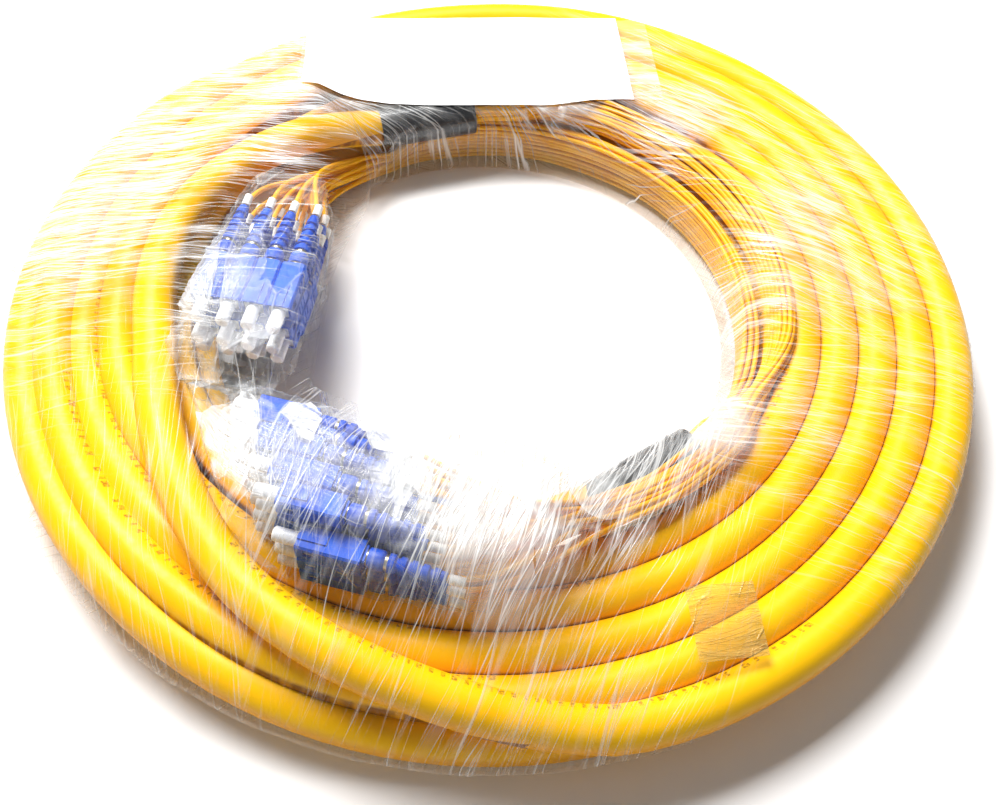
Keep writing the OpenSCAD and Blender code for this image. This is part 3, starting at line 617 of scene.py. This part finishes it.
def filmTop(x, y):
    # height of the wrapped film over a point, in mm
    place = (math.degrees(math.atan2(y, x)) % 360) / film["stepDeg"]
    before, t = int(place), place - int(place)
    heights = []
    for k in (before, before + 1):
        row = filmRows[k % len(filmAngles)][: film["round"] // 2 + 1]
        heights.append(np.interp(math.hypot(x, y), row[::-1, 0], row[::-1, 1]))
    return heights[0] * (1 - t) + heights[1] * t


def makeFilmSkin():
    n, split = film["round"], film["split"]
    total = len(filmAngles) * split
    verts, uvs = [], []
    for i in range(total + 1):
        before, t = (i // split) % len(filmAngles), (i % split) / split
        row = filmRows[before] * (1 - t) + filmRows[(before + 1) % len(filmAngles)] * t
        a = math.radians(film["stepDeg"] * i / split)
        closed = np.concatenate([row, row[:1]])
        run = np.concatenate([[0], np.cumsum(np.linalg.norm(np.diff(closed, axis=0), axis=1))])
        outward = row - film["centre"]
        outward /= np.linalg.norm(outward, axis=1)[:, None]
        for k in range(n + 1):
            r, z = row[k % n]
            v = run[k % n] * mm
            broad = Vector((math.cos(a) * 26 + v * 14, math.sin(a) * 26, v * 9))
            fine = Vector((math.cos(a) * 60, math.sin(a) * 60 - v * 20, v * 14 + 5))
            lift = film["ripple"] * (noise.noise(broad) + 0.6 * noise.noise(fine))
            lift = max(0.0, lift + 0.05) if z > 1.2 else 0.0  # flat on the floor
            r, z = r + outward[k % n, 0] * lift, z + outward[k % n, 1] * lift
            verts.append((r * math.cos(a) * mm, r * math.sin(a) * mm, z * mm))
            uvs.append((a * film["grain"], run[k] * mm))
    faces = [(a, a + 1, a + n + 2, a + n + 1)
             for i in range(total) for a in range(i * (n + 1), i * (n + 1) + n)]
    obj = newMesh("filmSkin", verts, faces, uvs)
    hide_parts("film_wrap", "film_base")
    return obj


filmSkin = makeFilmSkin()
print("film skin ready")

# lift: how far above the wrap's top; crease: height of the small folds
sheets = {
    "paperLabel": {"centre": (-18, 130.5), "turn": 7, "size": (145, 62), "lift": 0.25, "step": 2.5,
                   "crease": 0.15},
    "labelTape": {"centre": (-12, 130), "turn": 7, "size": (160, 60), "lift": 0.5, "step": 2.0,
                  "crease": 0.5},
    "tanTape": {"centre": (82, -141), "turn": 12, "size": (23, 23), "lift": 0.3, "step": 0.8, "crease": 0.5},
}


def makeSheet(name, node):
    spec = sheets[name]
    w, h = spec["size"]
    c, s = math.cos(math.radians(spec["turn"])), math.sin(math.radians(spec["turn"]))
    nx, ny = int(w / spec["step"]) + 1, int(h / spec["step"]) + 1
    around = [(dx, dy) for dx in (-2, 0, 2) for dy in (-2, 0, 2)]
    verts, uvs = [], []
    for j in range(ny):
        for i in range(nx):
            u, v = -w / 2 + w * i / (nx - 1), -h / 2 + h * j / (ny - 1)
            x = spec["centre"][0] + u * c - v * s
            y = spec["centre"][1] + u * s + v * c
            z = max(filmTop(x + dx, y + dy) for dx, dy in around) + spec["lift"]
            z += spec["crease"] * ridges((u, v * 0.6, 0), 0.09, len(name)) ** 4
            verts.append((x * mm, y * mm, z * mm))
            uvs.append((u * mm, v * mm))
    faces = [(k, k + 1, k + nx + 1, k + nx) for j in range(ny - 1) for k in range(j * nx, j * nx + nx - 1)]
    obj = newMesh(name, verts, faces, uvs)
    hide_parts(node)
    return obj


label = makeSheet("paperLabel", "label")
labelTape = makeSheet("labelTape", "label_tape")
tanTape = makeSheet("tanTape", "tape_patch")
print("label and tapes ready")


class Graph:
    # short-hand for wiring shader nodes
    def __init__(self, tree):
        self.tree = tree

    def feed(self, node, inputs):
        for key, value in inputs.items():
            socket = node.inputs[key]
            if isinstance(value, bpy.types.NodeSocket):
                self.tree.links.new(value, socket)
            elif hasattr(socket.default_value, "__len__") and not hasattr(value, "__len__"):
                socket.default_value = [value] * len(socket.default_value)
            else:
                socket.default_value = value
        return node

    def add(self, kind, inputs=None, **settings):
        node = self.tree.nodes.new(kind)
        for key, value in settings.items():
            setattr(node, key, value)
        return self.feed(node, inputs or {})

    def group(self, tree, **inputs):
        return self.add("ShaderNodeGroup", inputs, node_tree=tree).outputs

    def place(self):
        return self.add("ShaderNodeTexCoord").outputs["Object"]

    def uv(self):
        return self.add("ShaderNodeUVMap", uv_map="along").outputs[0]

    def normal(self):
        return self.add("ShaderNodeNewGeometry").outputs["Normal"]

    def math(self, operation, a, b=0.0, c=0.0, clamp=False):
        return self.add("ShaderNodeMath", {0: a, 1: b, 2: c}, operation=operation, use_clamp=clamp).outputs[0]

    def plus(self, a, b):
        return self.math("ADD", a, b)

    def minus(self, a, b):
        return self.math("SUBTRACT", a, b)

    def times(self, a, *others, clamp=False):
        for b in others:
            a = self.math("MULTIPLY", a, b, clamp=clamp)
        return a

    def vector(self, operation, a, b=(0, 0, 0), output="Vector"):
        return self.add("ShaderNodeVectorMath", {0: a, 1: b}, operation=operation).outputs[output]

    def parts(self, vector):
        return self.add("ShaderNodeSeparateXYZ", {0: vector}).outputs

    def noise(self, vector, scale, detail=2.0, rough=0.5, output="Fac"):
        values = {"Vector": vector, "Scale": scale, "Detail": detail, "Roughness": rough}
        return self.add("ShaderNodeTexNoise", values).outputs[output]

    def stretch(self, vector, scale, turn=0.0):
        values = {"Vector": vector, "Scale": scale, "Rotation": (0, 0, turn)}
        return self.add("ShaderNodeMapping", values).outputs["Vector"]

    def ramp(self, value, low, high, outLow=0.0, outHigh=1.0, smooth=False):
        values = {"Value": value, "From Min": low, "From Max": high, "To Min": outLow, "To Max": outHigh}
        kind = "SMOOTHSTEP" if smooth else "LINEAR"
        return self.add("ShaderNodeMapRange", values, interpolation_type=kind, clamp=True).outputs["Result"]

    def near(self, place, point, inner, outer, gain):
        # gain inside the inner radius round a point, falling to 0 at the outer one, all in mm
        away = self.vector("DISTANCE", place, tuple(v * mm for v in point), "Value")
        return self.ramp(away, inner * mm, outer * mm, gain, 0.0, smooth=True)

    def mixColour(self, factor, a, b):
        values = {0: factor, 6: a, 7: b}
        return self.add("ShaderNodeMix", values, data_type="RGBA", blend_type="MIX").outputs[2]

    def bumps(self, height, strength, distance):
        values = {"Height": height, "Strength": strength, "Distance": distance}
        return self.add("ShaderNodeBump", values).outputs[0]


def linear(colour):
    return tuple(((c / 255 + 0.055) / 1.055) ** 2.4 if c > 10 else c / 255 / 12.92 for c in colour) + (1.0,)


def makeGroup(name, inputs, outputs, build):
    tree = bpy.data.node_groups.new(name, "ShaderNodeTree")
    for key in inputs:
        kind = "NodeSocketVector" if key == "Vector" else "NodeSocketFloat"
        tree.interface.new_socket(name=key, in_out="INPUT", socket_type=kind)
    for key in outputs:
        tree.interface.new_socket(name=key, in_out="OUTPUT", socket_type="NodeSocketFloat")
    g = Graph(tree)
    source, sink = g.add("NodeGroupInput").outputs, g.add("NodeGroupOutput")
    g.feed(sink, build(g, source))
    return tree


def mottleBuild(g, source):
    # slow colour change, fine grain and small scuffs over any surface
    place, scale = g.place(), source["Scale"]
    return {"Slow": g.noise(place, scale, 3), "Fine": g.noise(place, g.times(scale, 14.0)),
            "Scuff": g.ramp(g.noise(place, g.times(scale, 5.0), 5, 0.7), 0.60, 0.72)}


def streakBuild(g, source):
    # thin pulled lines and soft smears of stretched film; the vector's X runs along them and Y across
    along, across = g.parts(source["Vector"])[:2]
    bend = g.times(g.minus(g.noise(source["Vector"], 14.0, 1), 0.5), 0.016)

    def pulled(fan, fine, slow, seed, detail):
        y = g.plus(g.plus(across, bend), g.times(along, fan))
        values = {"X": g.times(along, slow), "Y": g.times(y, fine), "Z": seed}
        return g.noise(g.add("ShaderNodeCombineXYZ", values).outputs[0], 1.0, detail, 0.55)

    start = g.ramp(source["Density"], 0.0, 1.0, 0.70, 0.46)
    lines = [g.times(g.minus(pulled(fan, fine, slow, seed, 2), start), 8.0, clamp=True)
             for fan, fine, slow, seed in ((0.05, 1500, 26, 0.0), (-0.16, 900, 17, 3.1))]
    thin = g.math("MAXIMUM", lines[0], g.times(lines[1], 0.8))
    smear = pulled(0.0, 240, 20, 11.3, 3)
    haze = g.times(g.minus(smear, g.ramp(source["Density"], 0.0, 1.0, 0.72, 0.34)), 3.5, clamp=True)
    return {"Thin": thin, "Haze": haze, "Height": g.plus(g.times(thin, 0.5), smear)}


def creaseBuild(g, source):
    # flat facets between sharp creases, as in a crumpled clear bag
    warp = g.vector("MULTIPLY", g.noise(source["Vector"], 40.0, output="Color"), (0.010, 0.010, 0.010))
    cells = {"Vector": g.vector("ADD", source["Vector"], warp), "Scale": source["Scale"]}
    facets = g.add("ShaderNodeTexVoronoi", cells).outputs["Color"]
    edges = g.add("ShaderNodeTexVoronoi", cells, feature="DISTANCE_TO_EDGE").outputs["Distance"]
    broken = g.ramp(g.noise(source["Vector"], 120.0), 0.45, 0.60)
    return {"Facet": g.parts(facets)[0], "Line": g.times(g.ramp(edges, 0.0, 0.055, 1.0, 0.0), broken)}


mottle = makeGroup("mottle", ("Scale",), ("Slow", "Fine", "Scuff"), mottleBuild)
streaks = makeGroup("streaks", ("Vector", "Density"), ("Thin", "Haze", "Height"), streakBuild)
creases = makeGroup("creases", ("Vector", "Scale"), ("Facet", "Line"), creaseBuild)


def newMaterial(name):
    material = bpy.data.materials.new(name)
    material.use_nodes = True
    material.node_tree.nodes.clear()
    g = Graph(material.node_tree)
    shader = g.add("ShaderNodeBsdfPrincipled")
    g.add("ShaderNodeOutputMaterial", {0: shader.outputs[0]})
    return material, g, shader


def solid(name, colour, shade, roughness, metallic=0.0, scale=140.0, coat=0.0, bump=0.2, shine=0.5):
    # a moulded or metal piece: slow tone change, fine grain, scuffs
    material, g, shader = newMaterial(name)
    effects = g.group(mottle, Scale=scale)
    base = g.mixColour(g.ramp(effects["Slow"], 0.35, 0.65), linear(colour), linear(shade))
    worn = linear(tuple(min(255, c + 40) for c in colour))
    base = g.mixColour(g.times(effects["Scuff"], 0.25), base, worn)
    g.feed(shader, {"Base Color": base, "Metallic": metallic, "Coat Weight": coat,
                    "Roughness": g.ramp(effects["Fine"], 0.3, 0.7, roughness - 0.08, roughness + 0.08),
                    "Specular IOR Level": shine, "Normal": g.bumps(effects["Fine"], bump, 0.0001)})
    return material


# the side tone: painted shade on the sides that face other turns; the meeting tone: painted shade where turns
# meet; lengths in metres
jacket = {"colour": (252, 196, 0), "shade": (249, 187, 0), "sideShade": (214, 128, 0), "meetShade": (112, 56, 4),
          "meetShadeOuter": 0.182, "meetShadeHeight": 0.0235, "meetShadeBand": 0.0038,
          "ink": (120, 78, 20), "ticksPerMetre": 260.0, "stretchesPerMetre": 1.02,
          "tickAround": 0.0065, "tickHalf": 0.00135, "shine": 0.22}


def jacketMaterial():
    material, g, shader = newMaterial("cableJacket")
    uv, place = g.uv(), g.place()
    effects = g.group(mottle, Scale=26.0)
    base = g.mixColour(g.ramp(effects["Slow"], 0.3, 0.7), linear(jacket["colour"]), linear(jacket["shade"]))
    # painted shade: faces that turn sideways are darkened to a deeper orange
    upright = g.math("ABSOLUTE", g.parts(g.normal())[2])
    base = g.mixColour(g.ramp(upright, 0.12, 0.66, 0.55, 0.0, smooth=True), base, linear(jacket["sideShade"]))
    # painted shade: broken dark lines where two turns of the upper layer touch
    radius = g.vector("LENGTH", g.stretch(place, (1, 1, 0)), output="Value")
    level = g.math("COMPARE", g.parts(place)[2], jacket["meetShadeHeight"], jacket["meetShadeBand"])
    inner = g.math("LESS_THAN", radius, jacket["meetShadeOuter"])
    meetShadeMask = g.times(level, inner, g.ramp(upright, 0.36, 0.52, 1.0, 0.0))
    dashed = g.ramp(g.noise(g.stretch(uv, (170, 0, 0)), 1.0), 0.38, 0.52, 0.35, 1.0)
    base = g.mixColour(g.times(meetShadeMask, dashed, 0.85), base, linear(jacket["meetShade"]))
    # a row of plain tick marks, like a length scale, in short stretches
    along, around = g.parts(uv)[:2]
    count = g.times(along, jacket["ticksPerMetre"])
    number = g.add("ShaderNodeCombineXYZ", {"X": g.times(g.math("FLOOR", count), 0.73)}).outputs[0]
    width = g.ramp(g.noise(number, 1.0, 0), 0.3, 0.7, 0.0, 0.75)
    bar = g.math("LESS_THAN", g.math("FRACT", count), width)
    aside = g.math("ABSOLUTE", g.minus(around, jacket["tickAround"]))
    band = g.math("LESS_THAN", aside, jacket["tickHalf"])
    cycle = g.math("FRACT", g.times(along, jacket["stretchesPerMetre"]))
    stretch = g.math("LESS_THAN", g.math("ABSOLUTE", g.minus(cycle, 0.5)), 0.11)
    ink = g.times(bar, band, stretch, g.ramp(g.noise(uv, 900.0, 3), 0.35, 0.6))
    base = g.mixColour(g.times(ink, 0.75), base, linear(jacket["ink"]))
    # faint lay of the strands under the jacket
    lay = g.add("ShaderNodeTexWave", {"Vector": g.stretch(uv, (1, 1.9, 1)), "Scale": 9.0, "Distortion": 0.0},
                wave_type="BANDS", bands_direction="DIAGONAL").outputs["Fac"]
    height = g.plus(g.times(lay, 0.15), g.times(effects["Fine"], 0.25))
    g.feed(shader, {"Base Color": base, "Roughness": g.ramp(effects["Fine"], 0.3, 0.7, 0.33, 0.47),
                    "Specular IOR Level": jacket["shine"], "Normal": g.bumps(height, 0.25, 0.0004)})
    return material


leg = {"colour": (252, 190, 2), "shade": (240, 168, 2), "mark": (150, 96, 20), "marksPerMetre": 21.0}


def legMaterial():
    material, g, shader = newMaterial("legJacket")
    effects = g.group(mottle, Scale=80.0)
    base = g.mixColour(g.ramp(effects["Slow"], 0.3, 0.7), linear(leg["colour"]), linear(leg["shade"]))
    cycle = g.math("FRACT", g.times(g.parts(g.uv())[0], leg["marksPerMetre"]))
    mark = g.math("LESS_THAN", g.math("ABSOLUTE", g.minus(cycle, 0.5)), 0.08)
    base = g.mixColour(g.times(mark, g.ramp(effects["Scuff"], 0, 1, 0.0, 0.5)), base, linear(leg["mark"]))
    g.feed(shader, {"Base Color": base, "Roughness": 0.42, "Specular IOR Level": 0.2,
                    "Normal": g.bumps(effects["Fine"], 0.2, 0.0002)})
    return material


# bare, lines, haze and side: how opaque the film is by itself, in its lines, its smears and edge on, the
# edge-on whitening being painted reflection;
# patches: (x, y, z, radius, gain) where it is layered and shows whiter; runs: (turn, x, y, radius, gain)
# ways that it was pulled; glares: (x, y, z, radius, gain) where its folds catch the light, all in mm;
# spots: folds only at the glares; the wall tone: painted shade, more opaque and brownish, where it stands
# upright, low down
films = {
    "plain": {"colour": (255, 255, 255), "uvScale": 1.0, "roughness": 0.16, "bump": 0.6, "side": 0.35,
              "density": 0.45, "wall": 0.0, "crumple": 0.0, "spots": False,
              "patches": (), "runs": (), "glares": ()},
    "stretchFilm": {
        "bare": 0.006, "lines": 0.55, "haze": 0.26, "colour": (232, 232, 230), "wallShadeColour": (150, 122, 78),
        "side": 0.08, "density": 0.46, "wall": 0.36, "crumple": 60.0, "spots": True,
        "patches": ((-150, 85, 30, 120, 0.55), (-120, 135, 30, 100, 0.30), (-155, 25, 35, 70, 0.55),
                    (-82, 75, 40, 50, 0.30), (-85, 30, 45, 30, 0.45), (80, 100, 35, 45, 0.55),
                    (125, 50, 30, 35, 0.45), (5, -112, 45, 50, 0.95), (-10, 112, 30, 50, 0.45),
                    (50, -95, 30, 40, 0.60), (-55, -115, 55, 50, 0.30), (80, -64, 30, 30, 0.90),
                    (110, -60, 30, 40, 0.30), (150, 50, 20, 150, 0.22), (-185, 0, 20, 110, 0.20),
                    (-100, -120, 22, 70, -0.22), (-170, -60, 30, 60, 0.26), (-118, -146, 13, 90, 0.42),
                    (60, -175, 15, 80, -0.15)),
        "runs": ((-8, -130, 45, 165, 1.0), (-30, 110, 90, 165, 0.9), (-14, 150, -60, 100, 0.8),
                 (66, 10, -120, 115, 0.9), (97, -110, -130, 110, 0.7)),
        "glares": ((8, -112, 45, 50, 0.30), (-62, 100, 30, 40, 0.15), (20, 118, 30, 30, 0.15),
                   (79, -66, 28, 26, 0.40))},
    "bagFilm": {
        "bare": 0.03, "lines": 0.36, "haze": 0.20, "colour": (232, 234, 236), "uvScale": 1.6,
        "roughness": 0.12, "bump": 0.9, "density": 0.30, "crumple": 75.0,
        "glares": ((-62, -88, 58, 50, 0.50), (-10, -110, 50, 35, 0.55), (-102, -28, 50, 22, 0.25))},
    "clearTape": {"bare": 0.10, "lines": 0.25, "haze": 0.6, "uvScale": 0.8, "roughness": 0.08, "bump": 0.5},
    "tanTapeFilm": {"bare": 0.36, "lines": 0.30, "haze": 0.3, "colour": (222, 184, 104), "uvScale": 2.2,
                    "roughness": 0.2, "bump": 1.0, "crumple": 130.0},
}


def pulledFilm(g, place, look):
    # lines, smears and height of the film's streaks
    level = g.plus(g.ramp(g.noise(place, 16.0, 4, 0.65), 0.36, 0.66, -0.30, 0.30), look["density"])
    for x, y, z, radius, gain in look["patches"]:
        level = g.plus(level, g.near(place, (x, y, z), 0.0, radius, gain))
    level = g.math("ADD", level, 0.0, clamp=True)
    if not look["runs"]:
        lain = g.stretch(g.uv(), (look["uvScale"], look["uvScale"], 1))
        effects = g.group(streaks, Vector=lain, Density=level)
        return effects["Thin"], effects["Haze"], effects["Height"]
    thin, haze, height = 0.0, 0.0, 0.0
    for turn, x, y, radius, gain in look["runs"]:
        share = g.near(g.stretch(place, (1, 1, 0)), (x, y, 0), radius * 0.55, radius, gain)
        density = g.times(level, g.ramp(share, 0.0, 1.0, 0.3, 1.0))
        lain = g.stretch(place, (1, 1, 0.6), turn=-math.radians(turn))
        effects = g.group(streaks, Vector=lain, Density=density)
        thin = g.math("MAXIMUM", thin, g.times(effects["Thin"], share))
        haze = g.math("MAXIMUM", haze, g.times(effects["Haze"], share))
        height = g.plus(height, g.times(effects["Height"], share))
    return thin, haze, height


def foldedFilm(g, place, look):
    # how opaque its folds are, with painted sheen on facets and a painted highlight on up-facing folds at the
    # glares, and their height
    folded = g.group(creases, Vector=g.stretch(place, (1, 0.45, 0.8), 0.5), Scale=look["crumple"])
    # painted sheen: some facets turn whiter than others at random
    bright = g.math("POWER", folded["Facet"], 2.5)
    share, shine = 0.0, 0.0
    for x, y, z, radius, gain in look["glares"]:
        share = g.math("MAXIMUM", share, g.near(place, (x, y, z), radius * 0.5, radius, 1.0))
        shine = g.plus(shine, g.near(place, (x, y, z), radius * 0.4, radius, gain))
    if not look["spots"]:
        share = 1.0
    # painted highlight: folds that face up, near the glares, turn whiter
    up = g.vector("DOT_PRODUCT", g.normal(), (-0.16, 0.08, 0.98), "Value")
    lit = g.ramp(g.plus(g.math("ABSOLUTE", up), g.times(bright, 0.45)), 0.86, 1.12, smooth=True)
    wrinkle = g.times(g.plus(g.times(folded["Line"], 0.32), g.times(bright, 0.20)), share)
    return g.plus(wrinkle, g.times(lit, shine)), g.times(folded["Line"], share, 0.8)


def clearFilm(name):
    look = {**films["plain"], **films[name]}
    material, g, shader = newMaterial(name)
    place = g.place()
    thin, haze, height = pulledFilm(g, place, look)
    base = linear(look["colour"])
    # painted reflection: the film turns more opaque and white edge on
    edge = g.math("POWER", g.add("ShaderNodeLayerWeight", {"Blend": 0.25}).outputs["Facing"], 3.0)
    alpha = g.plus(g.times(thin, look["lines"]), g.times(haze, look["haze"]))
    alpha = g.plus(g.plus(alpha, g.times(edge, look["side"])), look["bare"])
    # painted shade: low down, where the film stands upright, it turns more opaque and brownish
    if look["wall"]:
        upright = g.ramp(g.math("ABSOLUTE", g.parts(g.normal())[2]), 0.15, 0.60, 1.0, 0.0, smooth=True)
        low = g.times(upright, g.ramp(g.parts(place)[2], 0.010, 0.025, 1.0, 0.0, smooth=True))
        alpha = g.plus(alpha, g.times(low, look["wall"]))
        base = g.mixColour(g.times(low, g.minus(1.0, thin)), base, linear(look["wallShadeColour"]))
    if look["crumple"]:
        folds, foldHeight = foldedFilm(g, place, look)
        alpha, height = g.plus(alpha, folds), g.plus(height, foldHeight)
    g.feed(shader, {"Base Color": base, "Roughness": look["roughness"],
                    "Alpha": g.math("MINIMUM", alpha, 0.93), "Normal": g.bumps(height, look["bump"], 0.0008)})
    return material


def paperMaterial():
    material, g, shader = newMaterial("labelPaper")
    effects = g.group(mottle, Scale=30.0)
    base = g.mixColour(g.ramp(effects["Slow"], 0.35, 0.65), linear((252, 252, 252)), linear((243, 244, 246)))
    g.feed(shader, {"Base Color": base, "Roughness": 0.6, "Normal": g.bumps(effects["Fine"], 0.2, 0.0002)})
    return material


slotMaterials = {
    "cable_jacket": jacketMaterial(),
    "leg_jacket": legMaterial(),
    "stretch_film": clearFilm("stretchFilm"),
    "bag_film": clearFilm("bagFilm"),
    "shrink_sleeve": solid("shrinkSleeve", (34, 36, 40), (24, 26, 30), 0.35, scale=90.0, coat=0.3, bump=0.5),
    "potting": solid("potting", (30, 30, 32), (22, 22, 24), 0.5, scale=90.0),
    "label_paper": paperMaterial(),
    "clear_tape": clearFilm("clearTape"),
    "tan_tape": clearFilm("tanTapeFilm"),
    "blue_plastic": solid("bluePlastic", (2, 92, 214), (2, 74, 196), 0.52, shine=0.22),
    "blue_boot": solid("blueBoot", (2, 84, 206), (2, 66, 186), 0.5, shine=0.25),
    "white_plastic": solid("whitePlastic", (246, 247, 248), (232, 234, 238), 0.4, coat=0.1),
    "number_white": solid("numberWhite", (240, 240, 238), (226, 226, 222), 0.5, scale=200.0),
    "frame_plastic": solid("framePlastic", (225, 232, 240), (205, 214, 226), 0.35),
    "nickel": solid("nickel", (205, 206, 208), (180, 182, 186), 0.25, 1.0, scale=200.0),
    "crimp_metal": solid("crimpMetal", (190, 180, 150), (165, 155, 130), 0.35, 1.0, scale=200.0),
    "zirconia": solid("zirconia", (245, 243, 236), (236, 233, 224), 0.2, scale=200.0, coat=0.4),
}
pieceSlots = {
    trunkCable: "cable_jacket", legsAlongA: "leg_jacket", legsAlongB: "leg_jacket",
    legsToPlugsA: "leg_jacket", legsToPlugsB: "leg_jacket", filmSkin: "stretch_film",
    bagFilmA: "bag_film", bagFilmB: "bag_film", bootsA: "blue_boot", bootsB: "blue_boot",
    label: "label_paper", labelTape: "clear_tape", tanTape: "tan_tape",
}
nodeSlots = {
    "sleeve": "shrink_sleeve", "breakout": "potting", "number_rings": "number_white", "crimps": "crimp_metal",
    "backbones": "blue_plastic", "springs": "nickel", "frames": "frame_plastic", "caps": "white_plastic",
    "ferrules": "zirconia", "housings": "blue_plastic",
}


def dress():
    for obj, slot in pieceSlots.items():
        obj.data.materials.clear()
        obj.data.materials.append(slotMaterials[slot])
    for name, obj in nodes.items():
        kind = name.rsplit("_", 1)[0]
        if kind in nodeSlots:
            for holder in obj.material_slots:
                holder.material = slotMaterials[nodeSlots[kind]]


dress()
print("materials ready")

# place and power of each lamp; all are of one size and face the middle
lights = {"keyWindow": ((-0.45, 0.60, 1.15), 42.0), "fillFront": ((0.6, -0.9, 0.9), 0.3)}
lampSize = (0.8, 0.6)
worldLight = 0.20
floorHalf = 3.0


def makeFloor():
    verts = [(x * floorHalf, y * floorHalf, 0) for x, y in ((-1, -1), (1, -1), (1, 1), (-1, 1))]
    mesh = bpy.data.meshes.new("floor")
    mesh.from_pydata(verts, [], [(0, 1, 2, 3)])
    floor = bpy.data.objects.new("floor", mesh)
    bpy.context.collection.objects.link(floor)
    material, g, shader = newMaterial("floorPaper")
    slow = g.ramp(g.noise(g.place(), 3.0, 3), 0.35, 0.65)
    base = g.mixColour(slow, linear((252, 251, 250)), linear((247, 245, 244)))
    g.feed(shader, {"Base Color": base, "Roughness": 0.7})
    mesh.materials.append(material)


def makeLights():
    world = bpy.data.worlds.new("studio")
    bpy.context.scene.world = world
    world.use_nodes = True
    background = world.node_tree.nodes["Background"]
    background.inputs[0].default_value = (1, 1, 1, 1)
    background.inputs[1].default_value = worldLight
    for name, (place, power) in lights.items():
        data = bpy.data.lights.new(name, "AREA")
        data.shape = "RECTANGLE"
        data.size, data.size_y = lampSize
        data.energy = power
        lamp = bpy.data.objects.new(name, data)
        bpy.context.collection.objects.link(lamp)
        lamp.location = place
        lamp.rotation_euler = (-Vector(place)).to_track_quat("-Z", "Y").to_euler()
    bpy.context.scene.view_settings.view_transform = "Standard"


makeFloor()
makeLights()
print("floor and lights ready")
